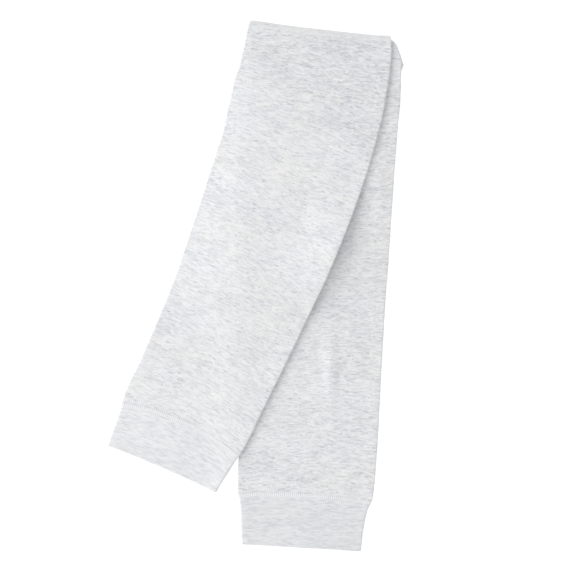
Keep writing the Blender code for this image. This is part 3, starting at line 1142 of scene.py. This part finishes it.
@dataclass
class LegPanel(Piece):
    """One leg, from its hidden end under the fold down to its cuff seam."""

    lay: Lay
    table: Table                # along, half width left, half width right, bow
    tube: FlatTube = FlatTube(columns=58, fold_steps=18)
    ring_spacing: float = 2.5
    bend_steps: int = 22
    seam_swell: float = 0.4     # the seam's turned edge thickens the leg's end
    swell_reach: Pair = (8.0, 1.0)      # from the end
    curl: tuple[Pair, ...] = ((1.2, 0.02), (0.4, 0.07), (0.03, 0.10), (0.0, 0.11))
    curl_gap: float = 0.8
    groove_depth: float = 0.35  # along the inseam
    groove_width: float = 0.7
    waver_start: Pair = (10.0, 40.0)
    edge_waver: tuple[Unevenness, Unevenness] = (
        Unevenness(11, 17.0, 0.25), Unevenness(23, 21.0, 0.25),
    )

    @property
    def end(self) -> float:
        """Distance along to the edge at the cuff."""
        return self.table[-1][0]

    def ring(self, along: float, inset: float) -> Ring:
        """Lay one section of the leg, with a slight waver in its side folds.

        Args:
            along: Distance down the leg.
            inset: Depth below the outer face.

        Returns:
            The placed section.
        """
        left, right, bow = widths(self.table, along)
        share = float(smoothstep(*self.waver_start, np.array(along)))
        left += share * self.edge_waver[0].down(along)
        right += share * self.edge_waver[1].down(along)
        start, stop = self.swell_reach
        swell = smoothstep(self.end - start, self.end - stop, np.array(along))
        section = self.tube.section(left, right, CLOTH.leg_thick + self.seam_swell * float(swell))
        if inset < CLOTH.leg_wall / 2:
            from_seam = np.minimum(section.around, section.around[-1] - section.around)
            inset = inset + self.groove_depth * np.exp(-(from_seam / self.groove_width) ** 2)
        return self.lay.place(section, along, bow, inset, along)

    def bent_ring(self, turn: float, tail: float, inset: float) -> Ring:
        """Lay one section round the fold.

        Args:
            turn: Degrees round the fold.
            tail: Distance back from the fold, underneath.
            inset: Depth below the outer face.

        Returns:
            The placed section.
        """
        left, right, _ = widths(self.table, CLOTH.axis_height * (1 - math.sin(math.radians(turn))))
        return self.lay.place_bent(self.tube.section(left, right, CLOTH.leg_thick), turn, tail, inset)

    def rings(self) -> list[Ring]:
        """Make the shell's sections.

        Returns:
            Sections down the outer face and back up the inner face.
        """
        last = self.end - self.curl[0][0] - self.curl_gap
        count = round((last - CLOTH.axis_height) / self.ring_spacing)
        places = np.linspace(CLOTH.axis_height, last, count + 1)[1:]
        turns = [(180.0 - 180.0 * step / self.bend_steps, 0.0) for step in range(self.bend_steps + 1)]

        def face(inset: float) -> list[Ring]:
            """Sections down one face of the cloth."""
            bent = [self.bent_ring(turn, tail, inset) for turn, tail in [(180.0, CLOTH.tail), *turns]]
            return bent + [self.ring(float(along), inset) for along in places]

        inner = face(CLOTH.leg_wall)[::-1]
        for ring in inner:
            ring.run = 2 * self.end - ring.run
        return face(0.0) + [self.ring(self.end - back, inset) for back, inset in self.curl] + inner

    def cut(self) -> Cut:
        """Work out the flat cut of what shows.

        Returns:
            Width and length in metres, and the area in square metres.
        """
        around_fold = math.pi * (self.lay.bend + CLOTH.leg_thick / 2) + CLOTH.tail
        rows = np.array(self.table)
        widest = float(np.max(rows[:, 1] + rows[:, 2])) * 2 + (math.pi - 2) * CLOTH.leg_thick
        left, right, _ = widths(self.table, CLOTH.axis_height)
        hidden = (around_fold - CLOTH.axis_height) * girth_of(left, right, CLOTH.leg_thick)
        area = tube_area(self.table, CLOTH.leg_thick) + hidden
        return flat_cut(widest, self.end - CLOTH.axis_height + around_fold, area)


@dataclass
class RibCuff(Piece):
    """A doubled band of fine rib at the end of a leg."""

    leg: LegPanel
    table: Table                # along, half width left, half width right, bow
    tube: FlatTube = FlatTube(columns=360, fold_steps=42)
    rib_pitch: float = 1.8
    rib_depth: float = 0.05
    seam_ribs: float = 0.3      # share of the ribs' depth at the seam
    ring_spacing: float = 2.2
    hem_steps: int = 5
    ease: float = 4.0           # length over which the cuff swells to its full thickness
    inner_air: float = 0.3
    curl: tuple[Pair, ...] = ((0.0, 0.11), (0.03, 0.10), (0.4, 0.07), (1.2, 0.02))
    curl_gap: float = 1.0

    @property
    def start(self) -> float:
        """Distance along to the edge at the leg."""
        return self.table[0][0]

    @property
    def end(self) -> float:
        """Distance along to the hem."""
        return self.table[-1][0]

    def thick(self, along: float) -> float:
        """Thickness at a distance along."""
        share = min(max((along - self.start) / self.ease, 0.0), 1.0)
        return CLOTH.seam_thick + (CLOTH.cuff_thick - CLOTH.seam_thick) * share

    def girth(self) -> float:
        """Length once round the cuff at its seam."""
        left, right, _ = widths(self.table, self.start)
        return girth_of(left, right, CLOTH.seam_thick)

    def ring(self, along: float, inset: float, run: float, ribbed: float) -> Ring:
        """Lay one section of the cuff.

        Args:
            along: Distance down the leg.
            inset: Depth below the outer face.
            run: Distance down the cloth's own length.
            ribbed: Share of the ribs' depth.

        Returns:
            The placed section.
        """
        left, right, bow = widths(self.table, along)
        section = self.tube.section(left, right, self.thick(along))
        count = round(self.girth() / self.rib_pitch)
        phase = section.around / section.around[-1] * count * 2 * math.pi
        ribs = self.rib_depth * ribbed * (0.5 + 0.5 * np.cos(phase))
        return self.leg.lay.place(section, along, bow, inset + ribs, run)

    def rings(self) -> list[Ring]:
        """Make the shell's sections.

        Returns:
            Sections down the outer face, round the hem and back up the inner face.
        """
        start, end, radius = self.start, self.end, CLOTH.cuff_wall / 2
        rings = [self.ring(start + on, inset, start + on, self.seam_ribs) for on, inset in self.curl]
        first = start + self.curl[-1][0] + self.curl_gap
        places = np.linspace(first, end - radius, round((end - first) / self.ring_spacing))
        rings += [self.ring(float(along), 0.0, float(along), 1.0) for along in places]
        for step in range(1, 2 * self.hem_steps):
            angle = math.pi * step / (2 * self.hem_steps)
            along, run = end - radius + radius * math.sin(angle), end - radius + radius * angle
            ribbed = math.cos(angle) ** 2 if angle < math.pi / 2 else 0.0
            rings.append(self.ring(along, radius - radius * math.cos(angle), run, ribbed))
        for along in map(float, places[::-1]):
            inner = min(CLOTH.cuff_wall, (self.thick(along) - self.inner_air) / 2)
            rings.append(self.ring(along, inner, 2 * end - along, 0.0))
        inner = (CLOTH.seam_thick - self.inner_air) / 2
        return rings + [self.ring(start, inner, 2 * end - start, 0.0)]

    def cut(self) -> Cut:
        """Width, length and area of the flat cut, all round the leg."""
        area = tube_area(self.table, CLOTH.cuff_thick)
        return flat_cut(self.girth(), self.end - self.start, area)


@dataclass
class FoldedPiece(Piece):
    """The seat or the waistband: the garment's top, folded in half under the legs."""

    line: CentreLine
    table: Table                # along, half width left, half width right, thickness
    wall: float
    joined_from: float          # the right side is one closed fold from here on
    stack: FoldedStack = FoldedStack()
    ring_spacing: float = 2.4
    edge_round: float = 0.5
    least_radius: float = 0.12
    gathers: float = 0.0        # depth of the elastic's gathers
    gather_pitch: float = 4.2
    gather_end: float = -0.5    # they end where the face has turned down this far
    tuck: float = 0.35          # the left side lies this much further in
    waver: Unevenness = Unevenness(31, 13.0, 0.35)

    def ring(self, along: float, inset: float, run: float) -> Ring:
        """Lay one section.

        Args:
            along: Distance down the left leg's line.
            inset: Depth below the outer face.
            run: Distance down the cloth's own length.

        Returns:
            The placed section.
        """
        left, right, thick = widths(self.table, along)
        left -= self.tuck + self.waver.down(along)
        section = self.stack.section(left, right, thick, along > self.joined_from)
        flutes = self.gathers * (0.5 + 0.5 * np.cos(section.around * 2 * math.pi / self.gather_pitch))
        flutes = flutes * (section.normal_height > self.gather_end)
        deepest = (thick - self.stack.cleft) / 4 - self.least_radius
        across, height = section.face(min(inset, deepest) + flutes)
        cx, cy, heading = self.line.at(along)
        right_x, right_y = direction_across(heading)
        points = np.column_stack((cx + right_x * across, cy + right_y * across, height))
        return Ring(points, section.around, run)

    def rings(self) -> list[Ring]:
        """Make the shell's sections.

        Returns:
            Sections down the outer face and back up the inner face.
        """
        start, end, edge, wall = self.table[0][0], self.table[-1][0], self.edge_round, self.wall
        count = round((end - start) / self.ring_spacing) + 2
        places = [float(along) for along in np.linspace(start + edge, end - edge, count)]
        back = 2 * end + wall
        return [
            self.ring(start, edge, start),
            *(self.ring(along, 0.0, along) for along in places),
            self.ring(end, edge, end),
            self.ring(end, wall - edge, end + wall),
            *(self.ring(along, wall, back - along) for along in places[::-1]),
            self.ring(start, wall - edge, back - start),
        ]

    def cut(self) -> Cut:
        """Work out the flat cut.

        Returns:
            Width and length in metres, and the area in square metres, all round the garment.
        """
        rows = np.array(self.table)
        wide = 2 * (rows[:, 1] + rows[:, 2])
        return flat_cut(2 * float(wide.max()), rows[-1, 0] - rows[0, 0], area_of(rows, 2 * wide))


def ring_normals(before: Ring, after: Ring) -> Array:
    """Outward normals between two rings.

    Args:
        before: The ring nearer the fold.
        after: The ring further down.

    Returns:
        A unit normal for each point of a ring.
    """
    around = np.gradient((before.points + after.points) / 2, axis=0)
    normals = np.cross(around, after.points - before.points)
    return normals / np.linalg.norm(normals, axis=1, keepdims=True)


@dataclass
class StitchRow:
    """Overlock stitches side by side over a seam, as one mesh of thread."""

    name: str
    thread_width: float = 1.15
    thread_height: float = 0.30
    sink: float = 0.12
    waver: float = 0.07         # each stitch is this much out of place
    round_steps: int = 6
    lowest: float = 0.02        # a stitch beneath the garment is pressed flat
    taper: Triple = (1.1, 6, 0.1)       # fullness, power and least of a stitch's ends
    own_length: float = 3.6     # of a stitch on the thread's own coordinates
    own_step: float = 0.013     # metres between stitches there
    pitch: float = 1.8
    samples: int = 6
    probe: float = 0.2          # distance over which the cloth's slope is read
    reach: float = 1.7          # half a stitch over a folded edge
    over_cuff: Pair = (-0.7, 3.3)       # reach of a stitch on the leg and on the cuff
    over_thick: float = 3.6     # least thickness of the cuff under its stitches
    over_tube: FlatTube = FlatTube(columns=60, fold_steps=24)

    def round_cuff(self, cuff: RibCuff, material: Material) -> Item:
        """Sew the seam between a leg and its cuff, all round.

        Args:
            cuff: The cuff.
            material: The thread's finish.

        Returns:
            The stitches.
        """
        count = round(cuff.girth() / self.pitch)

        def ring(along: float) -> Ring:
            """Lay the face under the stitches.

            Args:
                along: Distance down the leg.

            Returns:
                The placed section.
            """
            left, right, bow = widths(cuff.table, along)
            section = self.over_tube.section(left, right, max(self.over_thick, cuff.thick(along)))
            return cuff.leg.lay.place(section, along, bow, 0.0, along)

        ends = (cuff.start + off for off in self.over_cuff)
        stops = np.linspace(*ends, self.samples)
        return self.sew(ring, stops, lambda girth: (np.arange(count) + 0.5) / count * girth, 1, material)

    def down_edge(self, ring: Callable[[float], Ring], start: float, end: float, material: Material) -> Item:
        """Sew a seam that runs down a folded edge, such as an inseam.

        Args:
            ring: Gives the piece's outer face at a distance along.
            start: Distance along to the first stitch.
            end: Distance along to the end.
            material: The thread's finish.

        Returns:
            The stitches.
        """
        across = np.linspace(self.reach, -self.reach, self.samples)
        stops = np.arange(start, end, self.pitch)
        return self.sew(ring, stops, lambda girth: across % girth, 0, material)

    def sew(self, ring: Callable[[float], Ring], stops: Array, places: Callable[[float], Array],
            axis: int, material: Material) -> Item:
        """Read the cloth and lay the stitches on it.

        Args:
            ring: Gives the cloth's outer face at a distance along.
            stops: Distances along where it is read.
            places: Gives the places round it where it is read, from its girth.
            axis: 0 where each stop is one stitch, and 1 where each place is one.
            material: The thread's finish.

        Returns:
            The stitches.
        """
        paths, normals = [], []
        for along in map(float, stops):
            before, here, after = (ring(along + step) for step in (-self.probe, 0.0, self.probe))
            at = places(here.around[-1])
            for found, values in ((paths, here.points), (normals, ring_normals(before, after))):
                found.append(np.column_stack([np.interp(at, here.around, row) for row in values.T]))
        return self.build(np.stack(paths, axis=axis), np.stack(normals, axis=axis), material)

    def build(self, paths: Array, normals: Array, material: Material) -> Item:
        """Build and dress the row.

        Args:
            paths: Points along each stitch: stitch, sample and coordinate.
            normals: The cloth's outward normals at those points.
            material: The thread's finish.

        Returns:
            The stitches.
        """
        count, samples = paths.shape[:2]
        chance = np.random.default_rng(len(self.name))
        shifts = chance.normal(0.0, self.waver, (2, count, 1, 1))
        way = paths[:, -1:] - paths[:, :1]
        way = way / np.linalg.norm(way, axis=2, keepdims=True)
        place = np.linspace(-1, 1, samples)
        lean = place[None, :, None] * shifts[1]
        paths = paths + way * shifts[0] * 2 + np.cross(way, normals) * lean * 2
        side = np.cross(np.gradient(paths, axis=1), normals)
        side /= np.linalg.norm(side, axis=2, keepdims=True)
        full, power, least = self.taper
        taper = np.sqrt(np.clip(full - place ** power, least, 1))[None, :, None, None]
        angle = np.linspace(0, math.pi, self.round_steps)[None, None, :, None]
        wide = side[:, :, None, :] * np.cos(angle) * self.thread_width / 2
        high = normals[:, :, None, :] * (np.sin(angle) * self.thread_height - self.sink)
        points = paths[:, :, None, :] + (wide + high) * taper
        points[..., 2] = np.maximum(points[..., 2], self.lowest)
        own = np.zeros((count, samples, self.round_steps, 3))
        own[..., 0] = np.linspace(0, 1, samples)[None, :, None] * self.own_length * MM
        own[..., 1] = np.linspace(0, self.thread_width * MM, self.round_steps)[None, None, :]
        own[..., 2] = np.arange(count)[:, None, None] * self.own_step
        item = make_shell(self.name, points.reshape(-1, 3) * MM, self._faces(count, samples), "POINT", own)
        return dress(item, material)

    def _faces(self, count: int, samples: int) -> list[tuple[int, ...]]:
        """Join the points of the stitches.

        Args:
            count: Number of stitches.
            samples: Sections of one stitch.

        Returns:
            Each stitch's sides and its two ends.
        """
        steps, faces = self.round_steps, []
        for first in range(0, count * samples * steps, samples * steps):
            for low in range(first, first + (samples - 1) * steps, steps):
                for a, b in ((low + r, low + (r + 1) % steps) for r in range(steps)):
                    faces.append((a, a + steps, b + steps, b))
            faces.append(tuple(range(first, first + steps)))
            last = first + (samples - 1) * steps
            faces.append(tuple(range(last + steps - 1, last - 1, -1)))
        return faces


# The garment


@dataclass
class Leggings:
    """The whole garment, from its own sizes."""

    effects: EffectLibrary
    right_headings: Table = (
        (0, FOLD_HEADING), (7, FOLD_HEADING), (60, 12.4), (130, 18.0), (210, 21.7), (300, 24.4),
        (345, 25.0), (380, 24.2), (424, 23.3),
    )
    left_headings: Table = (
        (0, FOLD_HEADING), (12, FOLD_HEADING), (40, 3.2), (120, 2.7), (300, 2.6), (470, 3.4),
    )
    right_leg: Table = (
        (0, 61.2, 63.4, 0), (0.4, 62.2, 64.1, 0), (1.2, 62.9, 64.6, 0), (3, 63.5, 65.0, 0),
        (7, 64.0, 65.6, 0), (15, 64.8, 66.8, 0), (30, 65.6, 67.6, 0), (49, 66.0, 67.9, 0),
        (54, 67.6, 68.1, 0), (60, 68.0, 68.2, 0), (90, 68.0, 68.3, 0), (104, 67.0, 68.1, 0),
        (110, 66.3, 68.0, 0), (130, 66.6, 67.5, 0), (170, 66.2, 66.2, 0), (210, 64.2, 64.7, 0),
        (250, 61.8, 62.6, 0), (290, 60.6, 61.1, 0.8), (330, 59.7, 59.8, 3.5),
        (350, 59.4, 59.5, 5.4), (370, 60.0, 58.8, 7.3), (382.3, 58.4, 57.7, 8.3),
    )
    right_cuff: Table = (
        (382.3, 58.3, 57.6, 8.3), (385, 57.5, 56.7, 7.9), (390, 57.2, 56.0, 7.0), (400, 56.1, 54.6, 5.2),
        (410, 55.6, 53.0, 3.2), (421.6, 54.9, 51.6, 1.2),
    )
    left_leg: Table = (
        (0, 57.0, 57.0, 0), (1.5, 58.5, 59.0, 0), (7, 59.6, 62.2, 0), (15, 60.4, 65.6, 0),
        (25, 60.2, 67.9, 0),
        (40, 60.2, 68.4, 0), (60, 60.6, 68.6, 0), (90, 60.9, 67.8, 0), (130, 61.4, 66.6, 0),
        (210, 61.3, 64.8, 0), (290, 61.7, 63.6, 0), (330, 62.2, 63.4, 0.4), (370, 61.4, 63.0, 1.4),
        (400, 60.8, 62.3, 2.6), (420.3, 60.2, 61.2, 3.2),
    )
    left_cuff: Table = (
        (420.3, 60.1, 61.1, 3.2), (424, 58.5, 59.2, 2.9), (430, 57.4, 57.0, 2.4), (440, 56.2, 55.4, 1.6),
        (450, 55.6, 54.3, 0.9), (465.6, 53.8, 53.5, 0.1),
    )
    seat_halves: Table = (
        (10.95, 71.0, 64.0), (15, 71.9, 66.2), (20, 73.6, 67.9), (25, 74.8, 70.0), (30, 76.0, 69.0),
        (36, 77.4, 65.2), (48, 80.0, 61.2), (60, 81.8, 58.9), (80, 80.6, 57.2), (110, 75.8, 56.7),
        (150, 68.9, 57.2), (172.7, 65.7, 57.5),
    )
    waistband: Table = (
        (173, 66.0, 58.0, CLOTH.seat_thick), (178, 65.8, 58.3, CLOTH.waist_thick),
        (201, 62.8, 58.5, CLOTH.waist_thick), (203, 62.4, 58.3, CLOTH.waist_edge),
    )
    right_lifts: tuple[SoftForm, ...] = (
        SoftForm(179, 67, 48, 50, 0, 6.2), SoftForm(190, 68, 180, 46, 0, 1.7),
        SoftForm(110, 68, 24, 36, 0, -1.3), SoftForm(242, 67, 30, 40, 0, -2.3),
    )
    left_lifts: tuple[SoftForm, ...] = (SoftForm(222, 25, 27, 13, 29, -2.6),)
    right_top: tuple[SoftForm, ...] = (
        SoftForm(92, 8, 74, 22, 66, -0.5), SoftForm(150, -30, 60, 20, 75, 0.35),
        SoftForm(235, -22, 48, 16, 82, -0.35), SoftForm(300, 12, 54, 17, 96, 0.35),
        SoftForm(365, -20, 22, 13, 78, -0.4),
    )
    right_under: tuple[SoftForm, ...] = (
        SoftForm(120, -45, 40, 9, 20, 0.3), SoftForm(250, -38, 52, 8, -12, 0.3),
        SoftForm(330, 5, 38, 9, 24, 0.28),
    )
    left_top: tuple[SoftForm, ...] = (
        SoftForm(305, 18.5, 46, 8, -2.6, 1.9), SoftForm(288, 6, 24, 7, -3, -1.1),
        SoftForm(238, 37, 30, 12, 30, -0.7), SoftForm(350, 50, 70, 11, 2, -0.45),
        SoftForm(392, 12, 16, 12, 60, -0.45), SoftForm(150, 55, 55, 8, 0, 0.85),
    )
    left_under: tuple[SoftForm, ...] = (
        SoftForm(300, -20, 46, 9, 8, 0.3), SoftForm(360, 24, 40, 8, -14, 0.28),
    )

    rib_dyes_and_shade: Pair = (0.936, 0.904)     # of the right and left cuffs; the left cuff's lower value is painted shade
    rib_seeds: Pair = (71.0, 80.0)
    inseam_ends: Pair = (12.0, 4.0)     # from the fold's edge and from the leg's end
    rise_ends: Pair = (32.0, 170.0)
    left_drape: float = 0.3             # fall of the legs over what lies beneath them
    right_drape: float = 0.19

    def __post_init__(self) -> None:
        """Work out how the pieces lie on each other."""
        seat = tuple((*row, CLOTH.seat_thick) for row in self.seat_halves)
        shift_x, shift_y = direction_across(FOLD_HEADING)
        left_start = (RIGHT_START[0] + shift_x * LEFT_SHIFT, RIGHT_START[1] + shift_y * LEFT_SHIFT)
        right_line = CentreLine(RIGHT_START, self.right_headings)
        left_line = CentreLine(left_start, self.left_headings)
        right_field, left_field = HeightField(), HeightField()
        for table, top in ((seat, CLOTH.left_base), (self.waistband, CLOTH.waist_thick + CLOTH.layer_gap)):
            left_field.lay_on(left_line.outline(table), top)
            right_field.lay_on(left_line.outline(table), top)
        left_field.drape(self.left_drape)
        left = Lay(left_line, LEFT_SHIFT, CLOTH.inner_bend, left_field, self.left_lifts)
        grid = right_field.grid_x, right_field.grid_y
        underside = left.lift(*grid, *left_line.locate(*grid))
        for table, thick in ((self.left_leg, CLOTH.leg_thick), (self.left_cuff, CLOTH.cuff_thick)):
            right_field.lay_on(left_line.outline(table), underside + thick + CLOTH.layer_gap)
        right_field.drape(self.right_drape)
        right = Lay(
            right_line, 0.0, CLOTH.outer_bend, right_field, self.right_lifts,
            self.right_top, self.right_under, (Unevenness(5, 31.0, 0.24), Unevenness(6, 12.0, 0.07)),
            edge_puff=(0.25, 0.4),
        )
        left = replace(
            left, top_forms=self.left_top, under_forms=self.left_under, covered_by=right,
            cover_table=self.right_leg + self.right_cuff[1:],
            unevenness=(Unevenness(7, 27.0, 0.24), Unevenness(8, 11.0, 0.07)),
        )
        self.legs = [
            LegPanel("right_leg", "cloth", "knit", right, self.right_leg),
            LegPanel("left_leg", "cloth", "knit", left, self.left_leg),
        ]
        self.cuffs = [
            RibCuff("right_cuff", "rib", "rib", self.legs[0], self.right_cuff),
            RibCuff("left_cuff", "rib", "rib", self.legs[1], self.left_cuff),
        ]
        self.seat = FoldedPiece(
            "seat", "cloth", "knit", left_line, seat, CLOTH.leg_wall, 26.0, edge_round=0.25,
        )
        self.band = FoldedPiece(
            "waistband", "rib", "rib", left_line, self.waistband, CLOTH.cuff_wall, 0.0, gathers=0.3,
        )

    def build_legs(self, knit: KnitFinish, thread: Material) -> None:
        """Build both legs with their inseams.

        Args:
            knit: Finish of the panels.
            thread: Material of the stitches.
        """
        looks = (
            replace(
                knit, name="knit_right", seed=3.0, fold_cover=0.025, fold_painted_shade=0.025,
                fold_contrast=0.12, bend_fade=0.45, contrast=0.80, dye=0.956,
            ),
            replace(knit, name="knit_left", seed=41.0, dye=0.952, contrast=0.9),
        )
        rests = (["left_leg_cloth", "seat_cloth"], ["seat_cloth", "waistband_rib"])
        start, stop = self.inseam_ends
        for leg, look, below in zip(self.legs, looks, rests):
            item = leg.build(look.material(self.effects))
            row = StitchRow(leg.node + "_inseam", sink=0.02)
            seam = row.down_edge(lambda along: leg.ring(along, 0.0), start, leg.end - stop, thread)
            self._state(leg, item, below, [seam])

    def build_cuffs(self, rib: KnitFinish, thread: Material) -> None:
        """Build both cuffs with their seams.

        Args:
            rib: Finish of the bands.
            thread: Material of the stitches.
        """
        rests = (["left_cuff_rib"], ["studio_floor"])
        for cuff, dye, seed, below in zip(self.cuffs, self.rib_dyes_and_shade, self.rib_seeds, rests):
            # the left cuff's darker copy of the rib is painted shade
            look = replace(rib, name=cuff.node + "_rib", seed=seed, dye=dye, contrast=0.85)
            item = cuff.build(look.material(self.effects))
            seam = StitchRow(cuff.node + "_stitches").round_cuff(cuff, thread)
            self._state(cuff, item, below, [seam])

    def build_seat(self, knit: KnitFinish, rib: KnitFinish, thread: Material) -> None:
        """Build the folded-under seat and waistband.

        Args:
            knit: Finish of the seat.
            rib: Finish of the waistband.
            thread: Material of the stitches.
        """
        row = StitchRow("rise_seam", sink=0.02)
        seam = row.down_edge(lambda along: self.seat.ring(along, 0.0, along), *self.rise_ends, thread)
        looks = (
            replace(knit, name="knit_seat", seed=97.0, dye=0.95, contrast=0.85),
            replace(rib, name="waist_rib", seed=113.0, dye=0.92, contrast=0.85),
        )
        for piece, look, seams in zip((self.seat, self.band), looks, ([seam], [])):
            item = piece.build(look.material(self.effects))
            self._state(piece, item, ["studio_floor"], seams)

    @staticmethod
    def _state(piece: Piece, item: Item, below: list[str], seams: list[Item]) -> None:
        """Does nothing: the sheet that a piece is cut from is not stated or reported here.

        Args:
            piece: The piece. Not used.
            item: Its shell. Not used.
            below: Names of what it rests on. Not used.
            seams: The stitches that move with it. Not used.
        """


# The studio


@dataclass(frozen=True)
class Studio:
    """Plain pale floor, soft light and a camera straight above the garment."""

    middle: Pair = (0.03065, -0.0037)
    camera_height: float = 2.5
    view_width: float = 0.522
    sensor: float = 36.0
    floor_size: float = 30.0
    floor_drop: float = 0.0001
    floor_colour: Triple = (0.25, 0.25, 0.25)
    floor_roughness: float = 0.95
    floor_glow: float = 0.86
    world_strength: float = 0.82
    key_place: Triple = (-1.68, 0.24, 1.15)
    key_size: float = 1.8
    key_power: float = 25.3

    def build(self) -> None:
        """Make the floor, the world, the key light and the camera."""
        self._floor()
        world = bpy.data.worlds.new("studio_world")
        world.use_nodes = True
        back = world.node_tree.nodes["Background"]
        back.inputs["Color"].default_value = (*WHITE, 1.0)
        back.inputs["Strength"].default_value = self.world_strength
        light = bpy.data.lights.new("soft_key", "AREA")
        light.shape = "SQUARE"
        light.size = self.key_size
        light.energy = self.key_power
        item = link(bpy.data.objects.new("soft_key", light))
        item.location = self.key_place
        item.rotation_euler = (-Vector(self.key_place)).to_track_quat("-Z", "Y").to_euler()
        data = bpy.data.cameras.new("camera")
        data.sensor_width = self.sensor
        data.lens = self.sensor * self.camera_height / self.view_width
        camera = link(bpy.data.objects.new("camera", data))
        camera.location = (*self.middle, self.camera_height)
        scene = bpy.context.scene
        scene.world, scene.camera = world, camera
        scene.view_settings.view_transform = "Standard"

    def _floor(self) -> None:
        """A large pale floor just under the garment."""
        half = self.floor_size / 2
        data = bpy.data.meshes.new("studio_floor")
        corners = [(-half, -half, 0), (half, -half, 0), (half, half, 0), (-half, half, 0)]
        data.from_pydata(corners, [], [(0, 1, 2, 3)])
        material = bpy.data.materials.new("floor_paper")
        material.use_nodes = True
        shader = material.node_tree.nodes["Principled BSDF"]
        shader.inputs["Base Color"].default_value = (*self.floor_colour, 1.0)
        shader.inputs["Roughness"].default_value = self.floor_roughness
        shader.inputs["Emission Color"].default_value = (*WHITE, 1.0)
        shader.inputs["Emission Strength"].default_value = self.floor_glow
        data.materials.append(material)
        item = link(bpy.data.objects.new("studio_floor", data))
        item.location.z = -self.floor_drop


def main() -> None:
    """Build the studio and the garment, piece by piece."""
    logging.basicConfig(level=logging.INFO, format="%(name)s: %(message)s")
    Studio().build()
    knit = KnitFinish("knit", seed=1.0)
    rib = KnitFinish(
        "rib", seed=2.0, tone=0.016, cool=(0.828, 0.838, 0.855), warm=(0.837, 0.839, 0.845),
        layers=(
            StreakLayer(Yarn.GREY, 0.00125, 0.0110, 0.38, 0.36, 0.44),
            StreakLayer(Yarn.GREY, 0.00115, 0.0055, 0.40, 0.32, 0.32),
            StreakLayer(Yarn.PALE, 0.00140, 0.0080, 0.54, 0.18, 0.40),
        ),
    )
    garment = Leggings(EffectLibrary())
    thread = ThreadFinish().material()
    garment.build_legs(knit, thread)
    garment.build_cuffs(rib, thread)
    garment.build_seat(knit, rib, thread)


if __name__ == "__main__":
    main()
